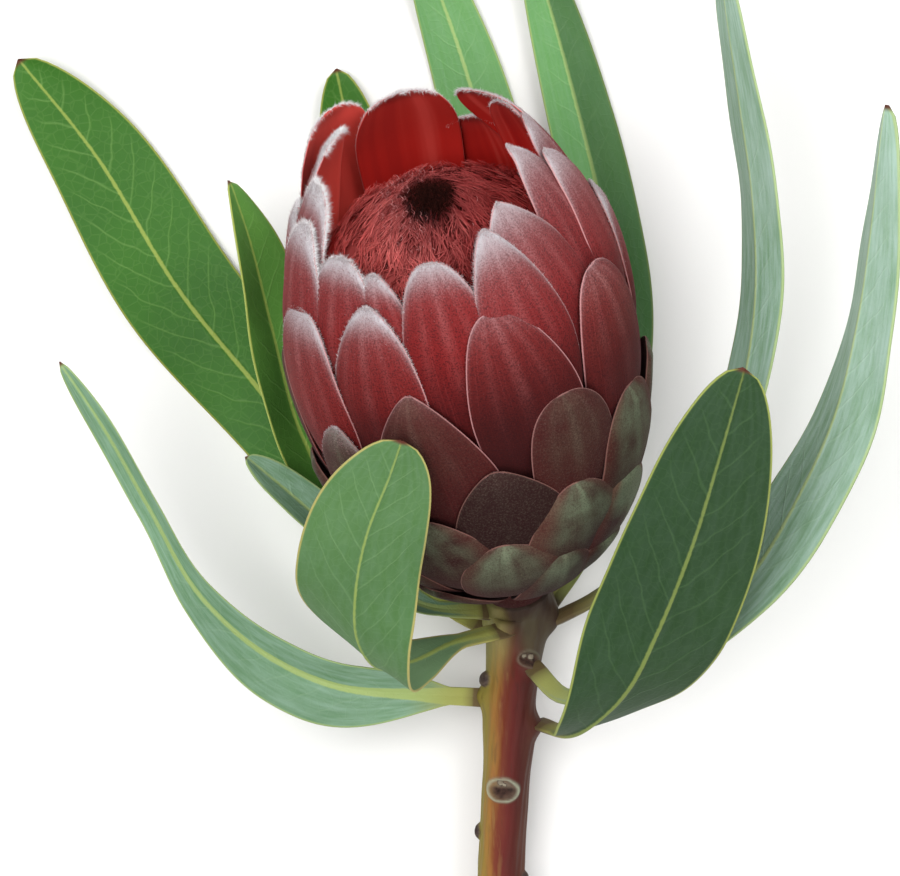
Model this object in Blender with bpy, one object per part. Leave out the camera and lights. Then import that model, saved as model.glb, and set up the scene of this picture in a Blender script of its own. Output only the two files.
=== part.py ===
# A pink protea, cut with its leaves and laid down. The flower head rests over one of its leaves,
# which its weight presses flat, and two more leaves and the stem's cut end touch the surface beside it.
# The surface is at z = 0. +Y runs from the cut end to the head, and +Z is up.
# The origin is the middle of the flat spot under the head.
import math

import bmesh
import bpy
import numpy as np
from mathutils import Matrix, Vector

MM = 0.001  # every size below is in millimetres, and every angle in degrees

# Flower head: where its base sits, and how its axis lies
HEAD_BASE = Vector((4.5, -33.2, 16.4))
HEAD_PITCH = 25.8  # up from the surface
HEAD_LEAN = 11.5  # to the left of +Y
SEAT_GAP = 0.3  # between pieces that touch on the real flower
MERGE = 0.003  # points closer than this are one point after a Boolean

# Height along the head's axis, and the outer radius there
HEAD_OUTLINE = [
    (0, 6.5), (4.6, 11.3), (9.2, 17.3), (14, 22.2), (18.5, 25.6), (28, 30), (37, 32.6), (46, 34),
    (55, 34.9), (65, 34.8), (74, 33.6), (83, 31), (92.5, 27.2), (100, 22.6), (104, 19.6),
]

# Bracts follow one spiral, each a golden angle on from the last, from the small scales at the base
# to the long ones round the mouth
BRACT_COUNT = 62
GOLDEN_ANGLE = 137.508
FIRST_BRACT_AT = 198.7  # degrees round the axis from the upper side, counted to the right
BRACT_TIPS = [(0, 5.5), (12, 23), (25, 47), (38, 80.5), (46, 94), (61, 103.5)]  # bract, tip height
BRACT_LENGTHS = [(0, 9), (12, 19), (25, 32), (38, 40), (61, 44)]  # bract, length along the outline
# Bracts that stand away from the spiral: how far round their tip is, its height, how many degrees
# the body stands to the right of the tip, and how far the tip curls in over the mouth
BRACTS_MOVED = {
    4: (22, 25, 1, 0), 9: (45, 21, 2, 0), 12: (0, 32, 2, 0), 14: (53, 35.5, 3, 0), 17: (28, 41.5, 2, 0),
    20: (-27, 40, 3, 0), 22: (58, 53.5, 5, 0), 25: (2, 50.5, 5, 0), 28: (-50, 59.5, 0, 0),
    30: (28, 63.5, 5, 0), 33: (-20, 69, 4, 0), 35: (57, 80, 5, 0), 36: (-64, 81, 1, 0), 38: (12, 82, 7, 0),
    41: (-31, 87, 1, 0), 43: (18, 96.5, 6, 0), 44: (-70, 97, -2, 0), 46: (-4, 94, 4, 0),
    47: (-144, 103.5, 0, 0), 48: (76, 99, 8, 0), 49: (-43, 94.5, -2, 0), 50: (157, 95, 0, 0),
    51: (30, 98.5, 10, 0), 52: (-108, 103.5, 0, 0), 53: (128, 103.5, -20, 5), 54: (-28, 92.5, 0, 0),
    55: (-169, 103.5, 0, 0), 56: (60, 103.5, 7, 1.5), 57: (-75, 103, -3, 0), 58: (143, 99, 0, 0),
    59: (5, 86, 0, 0), 60: (-126, 102, 0, 0),
}
BRACT_TWIST = 4.0  # of the others
MOUTH_TOP, MOUTH_DIP = 103.5, 9.0  # the tips' height at the mouth, and how much lower its front is
MOUTH_DIP_AT, MOUTH_DIP_SPREAD = -38.0, 50.0
BRACT_WIDTHS = [(0, 12), (12, 21), (25, 24), (33, 22), (38, 20.5), (61, 19)]  # bract, full width
BRACT_THICK = 0.7
TIP_TUCK = 0.8  # how far a bract's tip leans in
LAYER_STEP = 0.15  # how much deeper each later bract lies
ROOT_DEPTH = 4.6  # how deep every root is sunk
LOWEST_ROOT, ROOT_STEP = 3.0, 0.13  # up the outline, and how much further each later root is at least
EDGE_TUCK = 0.33  # how far a bract's margins curl in
BRACT_ROWS, BRACT_COLUMNS = 6, 3

# The body inside the bracts: its wall lies this deep under the outline, up to its rim
BODY_DEPTH = 3.5
BODY_RIM = 72.0
BOWL_FLOOR = 40.0
BODY_SIDES = 20

# Florets, packed in a dome inside the bracts, and the dark tuft at its middle
FLORET_OUTLINE = [(20.3, 83.2), (24.2, 78.6), (26, 72), (26.8, 66)]  # radius, height
FLORET_CROWN = [(5.6, 90.2), (11, 88.6), (16.6, 86)]  # radius, height, up to the seat of the tuft
FLORET_RIDGES = 28
FLORET_RIDGE_DEPTH = 0.5
TUFT_HEIGHT = 2.4
TUFT_HAIRS = 16
HAIR_RADIUS = 0.6

# Stem, from the cut end up to the head: points of its middle line, and radii
STEM_LINE = [
    (-2, -158, 4.48), (0, -120, 7.9), (1.6, -88, 10.6),
    (2.6, -66, 12.3), (3.4, -54, 13.2), (4.4, -43, 14.2),
]
STEM_RADII = [(0, 4.6), (0.55, 4.6), (0.8, 4.8), (0.93, 5.4), (1, 6.2)]  # share of its length, radius
STEM_SIDES = 14
STEM_RINGS = 18
# Scars and buds: y on the stem, bearing round it (0 right, 90 up), radius, how far it stands out
STEM_MARKS = [
    (-73.5, 82, 3.0, 0.5), (-82.5, 185, 1.8, 0.9), (-92, 20, 2.3, 1.0), (-45.5, 62, 2.0, 0.7),
    (-60.5, 340, 2.2, 0.8), (-51.2, 162, 1.4, 1.4), (-118, 140, 2.6, 0.6), (-104, 250, 2.2, 0.5),
]
BOSS_LENGTH = 1.6  # how far a leaf's seat stands off the stem
BOSS_RADIUS = 2.1

# Leaves. Each starts on the stem at a y and a bearing, then its midrib runs through the points.
# faces: share of the length, and which way the leaf's upper side looks there.
# fold: how far its halves rise from the midrib there. width is of the whole blade, and widest is
# the share of the length at which it has it. pinch narrows the blade there.
LEAVES = {
    "leaf_long_left": dict(
        at=(-41, 203), width=23.5, widest=0.6, fold=[(0, 0), (1, 8)],
        midrib=[
            (-7, -38.8, 8.6), (-20, -29.5, 3.2), (-33, -15, 1.2), (-43, 0, 0.7), (-62, 24, 0.35),
            (-79, 52, 1.6), (-93, 70, 4.5),
        ],
        faces=[(0, (-0.2, 0.5, 0.85)), (0.25, (0, 0, 1)), (1, (0.05, 0, 1))]),
    "leaf_narrow_left": dict(
        at=(-36.8, 215), width=17.5, widest=0.6, fold=[(0, 0), (0.2, 14), (1, 14)],
        midrib=[
            (-11, -31.5, 10.5), (-26.5, -22, 12.5), (-37.5, -3, 18), (-43.5, 20, 24), (-47.5, 37, 27),
            (-51, 48, 28),
        ],
        faces=[(0, (0, 0.5, 0.85)), (0.35, (0.5, 0.1, 0.8)), (1, (0.8, 0.1, 0.5))]),
    "leaf_under_left": dict(
        at=(-38, 248), width=17, widest=0.6, fold=[(0, 0), (0.5, 0), (1, 6)],
        midrib=[(-6, -28, 3.6), (-16.5, -4, 0.9), (-23.5, 30, 1.0), (-28, 53, 1.0), (-31, 68, 2.5)],
        faces=[(0, (0, 0.6, 0.8)), (0.3, (0, 0, 1)), (1, (0, 0, 1))]),
    "leaf_under_middle": dict(
        at=(-44.5, 274), width=16, widest=0.5, fold=[(0, 0), (1, 0)],
        midrib=[
            (4.3, -40, 5.0), (4, -31, 2.4), (3, -18, 0.8), (1, 0, 0.3), (1, 20, 0.3), (0.5, 42, 0.35),
            (-4.5, 64, 0.8), (-10.5, 82, 1.8), (-17, 99, 4.5),
        ],
        faces=[(0, (0, 0.7, 0.7)), (0.2, (0, 0, 1)), (1, (0, 0, 1))]),
    "leaf_under_right": dict(
        at=(-36.8, 318), width=14.5, widest=0.5, fold=[(0, 0), (0.2, 10), (1, 10)],
        midrib=[
            (17, -28, 8), (21.5, -14, 4.5), (24, 1, 2.6), (24.5, 17, 1.2), (21.5, 38, 0.35),
            (15.5, 63, 1.0), (10.5, 81, 2.2), (5.5, 97, 4.5),
        ],
        faces=[(0, (0, 0.5, 0.85)), (0.3, (0.2, 0, 1)), (1, (0.1, 0, 1))]),
    "leaf_right": dict(
        at=(-38.5, 5), width=16, widest=0.6, fold=[(0, 0), (0.3, 0), (0.6, -8), (1, -5)],
        midrib=[
            (19, -34.5, 19), (32, -23, 22), (43, -8, 27), (47.5, 8, 30), (49.7, 25, 32), (49, 45, 32),
            (46.5, 63, 30), (43.7, 82, 28), (42.7, 90, 27),
        ],
        faces=[(0, (-0.2, 0.8, 0.5)), (0.35, (-0.8, 0.2, 0.45)), (1, (-0.92, 0, 0.38))]),
    "leaf_far_right": dict(
        at=(-48, 55), width=19.5, widest=0.5, fold=[(0, 0), (0.4, -3), (0.75, -18), (1, -18)],
        pinch=[(0, 1), (0.1, 0.75), (0.25, 0.8), (0.45, 1), (1, 1)],
        midrib=[
            (13, -52, 27), (25, -47.5, 37), (38, -37, 44), (49.5, -23.5, 49), (57, -10, 50),
            (63.5, 5, 50), (67.5, 22, 50), (70.3, 42, 49), (72, 58, 47), (72.7, 63.5, 46.5),
        ],
        faces=[
            (0, (-0.3, 0.8, 0.3)), (0.3, (-0.75, 0.35, 0.55)), (0.5, (-0.8, 0.27, 0.54)),
            (0.75, (-0.9, 0.08, 0.42)), (1, (-0.93, 0, 0.3)),
        ]),
    "leaf_front_right": dict(
        at=(-60, 15), width=26.5, widest=0.52, fold=[(0, 0), (0.3, 6), (1, 6)],
        midrib=[
            (13.5, -59.6, 24.5), (18.5, -55.5, 37.5), (25, -46.5, 50), (30, -34, 60), (36.5, -14, 71),
            (40.3, 1, 77), (44.5, 18, 82),
        ],
        faces=[(0, (-0.3, 0.9, 0.1)), (0.3, (-0.1, 0.8, -0.4)), (0.5, (0, 0.3, -0.95)), (1, (0, 0.2, -1))]),
    "leaf_front_left": dict(
        at=(-40.5, 122), width=23.5, widest=0.7, fold=[(0, 0), (0.3, 8), (1, 8)],
        midrib=[
            (-8, -42, 26), (-16, -44, 36), (-22.5, -42.5, 48), (-26, -35.5, 57), (-26.2, -26, 64),
            (-24, -14, 70), (-19.5, -2, 74), (-17.5, 4, 76),
        ],
        faces=[
            (0, (0.2, 0.7, 0.6)), (0.3, (0.6, 0.7, 0.2)), (0.5, (0.5, 0.6, -0.6)),
            (0.65, (0.1, 0.4, -1)), (1, (0, 0.3, -1)),
        ]),
    "leaf_low_left": dict(
        at=(-55, 180), width=16.5, widest=0.3, fold=[(0, 10), (0.3, 35), (0.6, 45), (1, 40)],
        pinch=[(0, 1), (0.35, 1), (0.62, 0.5), (0.9, 0.62), (1, 0.7)],
        midrib=[
            (-14, -53.5, 17.5), (-31.5, -51, 20), (-44.5, -44.5, 22.5), (-57, -32.5, 26),
            (-66.5, -15, 29.5), (-75.5, 2, 33), (-83, 14, 36),
        ],
        faces=[(0, (0, 0.2, 1)), (0.2, (0, -0.26, 0.97)), (0.6, (-0.08, 0, 1)), (1, (0, 0, 1))]),
    "leaf_small_left": dict(
        at=(-37, 162), width=10, widest=0.6, fold=[(0, 0), (0.2, 20), (1, 20)],
        midrib=[(-13, -36, 19.5), (-25.5, -27.5, 21.5), (-36, -16, 26.5), (-48, -5, 30)],
        faces=[(0, (0.1, 0.6, 0.8)), (1, (0.5, 0.3, 0.8))]),
}
LEAF_THICK = 0.8
RIB_THICK = 2.2  # of the leaf at its stalk, with the rib
STALK_HALF_WIDTH = 1.9
LEAF_ROWS = 13
LEAF_COLUMNS = [-1, -0.5, -0.1, 0.1, 0.5, 1]  # across the blade, in half widths

COLOURS = {  # base colour, roughness
    "stem": ((0.33, 0.15, 0.05), 0.5),
    "bracts": ((0.36, 0.05, 0.05), 0.75),
    "florets": ((0.30, 0.02, 0.02), 0.8),
    "dark_tuft": ((0.02, 0.006, 0.005), 0.9),
    "leaf": ((0.07, 0.19, 0.05), 0.45),
}


def clear_scene():
    for thing in list(bpy.data.objects):
        bpy.data.objects.remove(thing)


def smooth_curve(knots):
    """A smooth function through (x, y) knots, held level past both ends."""
    xs, ys = (np.array(column, float) for column in zip(*knots))
    slopes = np.gradient(ys, xs)

    def value(x):
        x = min(max(x, xs[0]), xs[-1])
        i = min(int(np.searchsorted(xs, x, side="right")) - 1, len(xs) - 2)
        step = xs[i + 1] - xs[i]
        u = (x - xs[i]) / step
        return float(
            (2 * u**3 - 3 * u**2 + 1) * ys[i]
            + (u**3 - 2 * u**2 + u) * step * slopes[i]
            + (3 * u**2 - 2 * u**3) * ys[i + 1]
            + (u**3 - u**2) * step * slopes[i + 1]
        )

    return value


def smooth_line(points):
    """A smooth line through points, as a function of the share of its length."""
    runs = [0.0]
    for a, b in zip(points, points[1:]):
        runs.append(runs[-1] + (Vector(b) - Vector(a)).length)
    axes = [smooth_curve([(run / runs[-1], p[k]) for run, p in zip(runs, points)]) for k in range(3)]
    return lambda share: Vector([axis(share) for axis in axes])


def head_matrix():
    """From the head's own frame (z along its axis, -y its upper side) to the world."""
    pitch, lean = math.radians(HEAD_PITCH), math.radians(HEAD_LEAN)
    axis = Vector((-math.sin(lean) * math.cos(pitch), math.cos(lean) * math.cos(pitch), math.sin(pitch)))
    right = Vector((math.cos(lean), math.sin(lean), 0))
    back = axis.cross(right)
    turn = Matrix((right, back, axis)).transposed().to_4x4()
    return Matrix.Translation(HEAD_BASE) @ turn


def material(name):
    kind = "leaf" if name.startswith("leaf") else name
    made = bpy.data.materials.get(kind)
    if made is None:
        colour, roughness = COLOURS[kind]
        made = bpy.data.materials.new(kind)
        made.use_nodes = True
        shader = made.node_tree.nodes["Principled BSDF"]
        shader.inputs["Base Color"].default_value = (*colour, 1)
        shader.inputs["Roughness"].default_value = roughness
        shader.inputs["Metallic"].default_value = 0
    return made


def solid(name, points, faces, matrix=None):
    """An object from points in millimetres."""
    mesh = bpy.data.meshes.new(name)
    placed = [(matrix @ Vector(p) if matrix else Vector(p)) * MM for p in points]
    mesh.from_pydata(placed, [], faces)
    mesh.materials.append(material(name.split("-")[0]))
    mesh.shade_smooth()
    mesh.set_sharp_from_angle(angle=math.radians(40))
    made = bpy.data.objects.new(name, mesh)
    bpy.context.scene.collection.objects.link(made)
    return made


def slab(upper, lower):
    """Points and triangles of a closed slab between two grids of points, split alike on both faces."""
    rows, columns = len(upper), len(upper[0])
    points = [p for row in upper for p in row] + [p for row in lower for p in row]
    under = rows * columns
    faces = []
    for i in range(rows - 1):
        for k in range(columns - 1):
            a, b = i * columns + k, i * columns + k + 1
            c, d = b + columns, a + columns
            faces += [(a, b, c), (a, c, d)]
            faces += [(under + c, under + b, under + a), (under + d, under + c, under + a)]
    rim = list(range(columns))
    rim += [i * columns + columns - 1 for i in range(1, rows)]
    rim += [(rows - 1) * columns + k for k in range(columns - 2, -1, -1)]
    rim += [i * columns for i in range(rows - 2, 0, -1)]
    for a, b in zip(rim, rim[1:] + rim[:1]):
        faces += [(b, a, under + a), (b, under + a, under + b)]
    return points, faces


def turned(profile, sides, radius_at=None):
    """Points and faces of a closed turned shape. profile is (radius, height), from the middle of
    its underside to the middle of its top; the first and last radius are 0."""
    points = [(0, 0, profile[0][1])]
    for radius, height in profile[1:-1]:
        for k in range(sides):
            r = radius_at(radius, height, k) if radius_at else radius
            angle = 2 * math.pi * k / sides
            points.append((r * math.sin(angle), -r * math.cos(angle), height))
    points.append((0, 0, profile[-1][1]))
    rings = len(profile) - 2
    faces = []
    for k in range(sides):
        following = (k + 1) % sides
        faces.append((0, 1 + following, 1 + k))
        for i in range(rings - 1):
            a, b = 1 + i * sides + k, 1 + i * sides + following
            faces.append((a, b, b + sides, a + sides))
        last = 1 + (rings - 1) * sides
        faces.append((last + k, last + following, len(points) - 1))
    return points, faces


def fuse(body, pieces):
    """Joins pieces into body with one Boolean, then keeps the outer skin alone, so that a hollow
    sealed between them is filled and a loose scrap is dropped."""
    group = bpy.data.collections.new("joined")
    for piece in pieces:
        bpy.context.scene.collection.objects.unlink(piece)
        group.objects.link(piece)
    bpy.context.scene.collection.children.link(group)
    union = body.modifiers.new("join", "BOOLEAN")
    union.operation = "UNION"
    union.operand_type = "COLLECTION"
    union.collection = group
    union.solver = "EXACT"
    bpy.context.view_layer.update()
    joined = bpy.data.meshes.new_from_object(body.evaluated_get(bpy.context.evaluated_depsgraph_get()))
    body.modifiers.clear()
    body.data = joined
    for piece in pieces:
        bpy.data.objects.remove(piece)
    bpy.data.collections.remove(group)
    keep_outer_skin(joined)


def keep_outer_skin(mesh):
    shape = bmesh.new()
    shape.from_mesh(mesh)
    bmesh.ops.remove_doubles(shape, verts=shape.verts, dist=MERGE * MM)
    bmesh.ops.dissolve_degenerate(shape, edges=shape.edges, dist=MERGE * MM)
    bmesh.ops.triangulate(shape, faces=shape.faces)
    twins = {}
    for face in shape.faces:
        twins.setdefault(frozenset(face.verts), []).append(face)
    flaps = [face for pair in twins.values() if len(pair) > 1 for face in pair]
    bmesh.ops.delete(shape, geom=flaps, context="FACES")
    left = set(shape.verts)
    groups = []
    while left:
        start = left.pop()
        group, edge = {start}, [start]
        while edge:
            for link in edge.pop().link_edges:
                for v in link.verts:
                    if v in left:
                        left.discard(v)
                        group.add(v)
                        edge.append(v)
        groups.append(group)
    groups.sort(key=len)
    for group in groups[:-1]:
        bmesh.ops.delete(shape, geom=list(group), context="VERTS")
    shape.to_mesh(mesh)
    shape.free()


# The head's outline as a length run up its surface
head_radius = smooth_curve(HEAD_OUTLINE)
tip_height = smooth_curve(BRACT_TIPS)
OUTLINE_STEPS = 208


def outline_runs():
    heights = [HEAD_OUTLINE[-1][0] * i / OUTLINE_STEPS for i in range(OUTLINE_STEPS + 1)]
    runs = [0.0]
    for low, high in zip(heights, heights[1:]):
        runs.append(runs[-1] + math.hypot(high - low, head_radius(high) - head_radius(low)))
    return heights, runs


OUTLINE_HEIGHTS, OUTLINE_RUNS = outline_runs()
BRACT_NUMBERS = list(range(BRACT_COUNT))
LAYER_HEIGHTS = [tip_height(n) for n in BRACT_NUMBERS]  # where each bract is the outermost
bract_length = smooth_curve(BRACT_LENGTHS)
bract_width = smooth_curve(BRACT_WIDTHS)


def bract_place(number):
    """How far round the axis a bract's tip stands, its height, and the bract's twist and curl."""
    if number in BRACTS_MOVED:
        return BRACTS_MOVED[number]
    around = (FIRST_BRACT_AT - GOLDEN_ANGLE * number + 180) % 360 - 180
    dip = math.exp(-(((around - MOUTH_DIP_AT) / MOUTH_DIP_SPREAD) ** 2))
    return around, min(LAYER_HEIGHTS[number], MOUTH_TOP - MOUTH_DIP * dip), BRACT_TWIST, 0


def bract_half_width(number, share):
    """Half width along a bract in half widths: a broad foot, and a tip that is blunt on the low
    bracts and more pointed on the high ones."""
    widest, foot, tip = 0.48, 0.6, 0.12
    if share < widest:
        return foot + (1 - foot) * math.sin(math.pi / 2 * share / widest)
    u = (share - widest) / (1 - widest)
    blunt = float(np.interp(number, (12, 32), (2.6, 1.6)))
    return tip + (1 - tip) * math.sqrt(1 - u**blunt)


def bract_point(number, share, across):
    """A point of a bract's middle surface, in the head's frame. share runs from its root to its tip
    and across from its left margin (-1) to its right one (1)."""
    around, tip, twist, curl = bract_place(number)
    tip_run = np.interp(tip, OUTLINE_HEIGHTS, OUTLINE_RUNS)
    own_tip = np.interp(LAYER_HEIGHTS[number], OUTLINE_HEIGHTS, OUTLINE_RUNS)
    root_run = max(LOWEST_ROOT + ROOT_STEP * number, own_tip - bract_length(number))
    run = root_run + (tip_run - root_run) * share
    height = float(np.interp(run, OUTLINE_RUNS, OUTLINE_HEIGHTS))
    radius = head_radius(height)
    depth = LAYER_STEP * max(0.0, number - float(np.interp(height, LAYER_HEIGHTS, BRACT_NUMBERS)))
    depth += max(0.0, ROOT_DEPTH - depth) * (1 - share) ** 5
    depth += EDGE_TUCK * across**2 + TIP_TUCK * max(0.0, share - 0.8) / 0.2 + curl * share**6
    half = bract_width(number) / 2 * bract_half_width(number, share)
    angle = math.radians(around + twist * (1 - share**2)) + across * half / radius
    r = max(0.5, radius - depth)
    return Vector((r * math.sin(angle), -r * math.cos(angle), height))


def bract(number, matrix):
    """One bract as a closed slab."""
    upper, lower = [], []
    step = 0.01
    row_count = BRACT_ROWS if number > 30 else BRACT_ROWS - 1
    for i in range(row_count + 1):
        share = math.sin(math.pi / 2 * i / row_count) ** 0.9
        rows = [], []
        for k in range(BRACT_COLUMNS + 1):
            across = 2 * k / BRACT_COLUMNS - 1
            here = bract_point(number, share, across)
            ahead = bract_point(number, min(share + step, 1), across)
            along = ahead - bract_point(number, max(share - step, 0), across)
            rightward = bract_point(number, share, across + step)
            sideways = rightward - bract_point(number, share, across - step)
            out = sideways.cross(along).normalized() * BRACT_THICK / 2
            rows[0].append(here + out)
            rows[1].append(here - out)
        upper.append(rows[0])
        lower.append(rows[1])
    return solid(f"bracts-{number}", *slab(upper, lower), matrix)


def make_bracts(matrix):
    """The body of the head with every bract fused to it, in one node."""
    profile = [(0, 0), (HEAD_OUTLINE[0][1] - 1, 0), (HEAD_OUTLINE[0][1], 2.5)]
    for height in (7, 12, 18, 26, 35, 45, 55, 65, BODY_RIM):
        profile.append((head_radius(height) - BODY_DEPTH, height))
    inside = (FLORET_OUTLINE[-1][0] + FLORET_RIDGE_DEPTH + SEAT_GAP) / math.cos(math.pi / BODY_SIDES)
    profile += [(inside, BODY_RIM), (inside, BOWL_FLOOR), (0, BOWL_FLOOR)]
    body = solid("bracts", *turned(profile, BODY_SIDES), matrix)
    fuse(body, [bract(n, matrix) for n in BRACT_NUMBERS])


def make_florets(matrix):
    """The dome of florets, raised into ridges that run up to the tuft."""
    foot = BOWL_FLOOR + SEAT_GAP
    profile = [(0, foot), (FLORET_OUTLINE[-1][0], foot)]
    profile += FLORET_OUTLINE[::-1] + FLORET_CROWN[::-1] + [(0, FLORET_CROWN[0][1])]

    def ridged(radius, height, k):
        return radius + (FLORET_RIDGE_DEPTH if k % 2 else -FLORET_RIDGE_DEPTH) * min(1, radius / 14)

    solid("florets", *turned(profile, 2 * FLORET_RIDGES, ridged), matrix)


def make_tuft(matrix):
    """The dark hairs at the middle of the florets, on a small mound."""
    radius, seat = FLORET_CROWN[0]
    seat += SEAT_GAP
    top = seat + TUFT_HEIGHT
    shoulder = (radius * 0.8, seat + TUFT_HEIGHT * 0.5)
    mound = [(0, seat), (radius, seat), shoulder, (radius * 0.4, top - 0.4), (0, top)]
    body = solid("dark_tuft", *turned(mound, 16), matrix)
    hairs = []
    for n in range(TUFT_HAIRS):
        angle = math.radians(GOLDEN_ANGLE * n)
        out = radius * 0.78 * math.sqrt((n + 0.5) / TUFT_HAIRS)
        root = Vector((out * math.sin(angle), -out * math.cos(angle), seat + 0.8))
        tip = Vector((root.x * 0.75, root.y * 0.75, top + 1.6 - 0.12 * out))
        corners = [2 * math.pi * k / 3 for k in range(3)]
        foot = [root + HAIR_RADIUS * Vector((math.cos(a), math.sin(a), 0)) for a in corners]
        spike = [(0, 2, 1), (0, 1, 3), (1, 2, 3), (2, 0, 3)]
        hairs.append(solid(f"dark_tuft-{n}", [*foot, tip], spike, matrix))
    fuse(body, hairs)


def stem_line():
    """The stem's middle line as a function of the share of its length, square to the head's axis
    at its end."""
    axis = head_matrix().to_3x3() @ Vector((0, 0, 1))
    top = HEAD_BASE - axis * SEAT_GAP
    return smooth_line([*STEM_LINE, tuple(top - axis * 4), tuple(top)])


stem_at = stem_line()
stem_radius = smooth_curve(STEM_RADII)
STEM_STEPS = 200


def stem_point(y, bearing, stand_off):
    """A point beside the stem: its middle there, and a point that far off its skin at a bearing."""
    shares = [i / STEM_STEPS for i in range(STEM_STEPS + 1)]
    share = float(np.interp(y, [stem_at(s).y for s in shares], shares))
    middle = stem_at(share)
    angle = math.radians(bearing)
    out = Vector((math.cos(angle), 0, math.sin(angle)))
    return middle, middle + out * (stem_radius(share) + stand_off)


def tube(name, rings):
    """A closed tube through rings of points, with flat ends."""
    sides = len(rings[0])
    points = [p for ring in rings for p in ring]
    faces = [tuple(range(sides)), tuple(range(len(points) - 1, len(points) - 1 - sides, -1))]
    for i in range(len(rings) - 1):
        for k in range(sides):
            a, b = i * sides + k, i * sides + (k + 1) % sides
            faces.append((a, a + sides, b + sides, b))
    return solid(name, points, faces)


def ring(middle, along, radius, sides, flat=1.0, side=None):
    """Points round a middle, square to a direction. flat is its height for its width."""
    side = (side or along.cross(Vector((0, 0, 1)))).normalized()
    up = side.cross(along).normalized()
    angles = [2 * math.pi * k / sides for k in range(sides)]
    return [middle + side * radius * math.cos(a) + up * radius * flat * math.sin(a) for a in angles]


def make_stem():
    """The stem, with a seat for every leaf, and its scars and buds."""
    rings = []
    for i in range(STEM_RINGS + 1):
        share = i / STEM_RINGS
        along = (stem_at(min(share + 0.005, 1)) - stem_at(max(share - 0.005, 0))).normalized()
        if i == STEM_RINGS:
            along = head_matrix().to_3x3() @ Vector((0, 0, 1))
        around = ring(stem_at(share), along, stem_radius(share), STEM_SIDES)
        rings.append([Vector((p.x, p.y, max(p.z, 0))) for p in around])
    body = tube("stem", rings)
    knobs = []
    for name, leaf in LEAVES.items():
        middle, seat = stem_point(*leaf["at"], BOSS_LENGTH)
        toward = leaf_line(leaf)(0.02) - leaf_line(leaf)(0)
        end = seat - toward.normalized() * SEAT_GAP
        across = (end - middle).cross(toward)
        inner = ring(middle, end - middle, BOSS_RADIUS * 1.1, 8, side=across)
        outer = ring(end, toward, BOSS_RADIUS, 8, 0.75, across)
        knobs.append(tube(f"stem-{name}", [inner, outer]))
    for n, (y, bearing, radius, stands_out) in enumerate(STEM_MARKS):
        middle, skin = stem_point(y, bearing, 0)
        out = (skin - middle).normalized()
        inner = ring(skin - out * 1.5, out, radius, 8)
        outer = ring(skin + out * stands_out, out, radius * 0.7, 8)
        knobs.append(tube(f"stem-mark-{n}", [inner, outer]))
    fuse(body, knobs)


def leaf_line(leaf):
    _, start = stem_point(*leaf["at"], BOSS_LENGTH)
    return smooth_line([tuple(start), *leaf["midrib"]])


def leaf_half_width(leaf, share):
    """Half width of a leaf there. Its tip is round."""
    widest, tip = leaf["widest"], 0.1
    if share < widest:
        shape = math.sin(math.pi / 2 * share / widest) ** 1.25
    else:
        shape = tip + (1 - tip) * (1 - ((share - widest) / (1 - widest)) ** 2.3) ** 0.6
    if "pinch" in leaf:
        shape *= smooth_curve(leaf["pinch"])(share)
    return max(STALK_HALF_WIDTH * (1 - share), leaf["width"] / 2 * shape)


def leaf_point(leaf, line, faces, fold, share, across):
    """A point of a leaf's middle surface, and the way its upper side looks there."""
    along = (line(min(share + 0.01, 1)) - line(max(share - 0.01, 0))).normalized()
    upward = Vector([face(share) for face in faces])
    side = along.cross(upward).normalized()
    upward = side.cross(along).normalized()
    half = leaf_half_width(leaf, share)
    rise = math.radians(fold(share))
    offset = side * across * half * math.cos(rise) + upward * abs(across) * half * math.sin(rise)
    return line(share) + offset, upward


def make_leaf(name, leaf):
    line = leaf_line(leaf)
    faces = [smooth_curve([(share, look[k]) for share, look in leaf["faces"]]) for k in range(3)]
    fold = smooth_curve(leaf["fold"])
    upper, lower = [], []
    for i in range(LEAF_ROWS + 1):
        share = i / LEAF_ROWS
        rows = [], []
        for across in LEAF_COLUMNS:
            here, upward = leaf_point(leaf, line, faces, fold, share, across)
            rib = max(0.0, 1 - 1.6 * abs(across)) * (RIB_THICK - LEAF_THICK) * (1 - share) ** 1.5
            top = here + upward * (LEAF_THICK / 2 + rib * 0.3)
            bottom = here - upward * (LEAF_THICK / 2 + rib * 0.7)
            pressed = max(0.0, -min(top.z, bottom.z))  # what would reach below the surface is pressed up
            top.z, bottom.z = top.z + pressed, bottom.z + pressed
            rows[0].append(top)
            rows[1].append(bottom)
        upper.append(rows[0])
        lower.append(rows[1])
    return solid(name, *slab(upper, lower))


clear_scene()
HEAD = head_matrix()
make_bracts(HEAD)
make_florets(HEAD)
make_tuft(HEAD)
make_stem()
for leaf_name, leaf_sizes in LEAVES.items():
    make_leaf(leaf_name, leaf_sizes)
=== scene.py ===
import math

import bpy
import numpy as np
from mathutils import Matrix, Vector


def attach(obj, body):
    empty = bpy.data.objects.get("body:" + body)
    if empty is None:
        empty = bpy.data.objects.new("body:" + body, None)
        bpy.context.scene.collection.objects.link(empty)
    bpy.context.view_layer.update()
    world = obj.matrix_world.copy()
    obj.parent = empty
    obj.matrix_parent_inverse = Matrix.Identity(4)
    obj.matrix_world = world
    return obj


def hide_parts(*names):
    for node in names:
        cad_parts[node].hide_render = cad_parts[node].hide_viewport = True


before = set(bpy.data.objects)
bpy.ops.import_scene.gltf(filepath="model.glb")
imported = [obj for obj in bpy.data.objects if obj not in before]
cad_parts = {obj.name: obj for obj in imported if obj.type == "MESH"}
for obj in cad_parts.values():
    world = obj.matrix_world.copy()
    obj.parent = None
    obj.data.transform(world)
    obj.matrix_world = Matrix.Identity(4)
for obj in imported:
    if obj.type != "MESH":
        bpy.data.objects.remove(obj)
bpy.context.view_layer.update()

mm = 0.001
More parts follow.
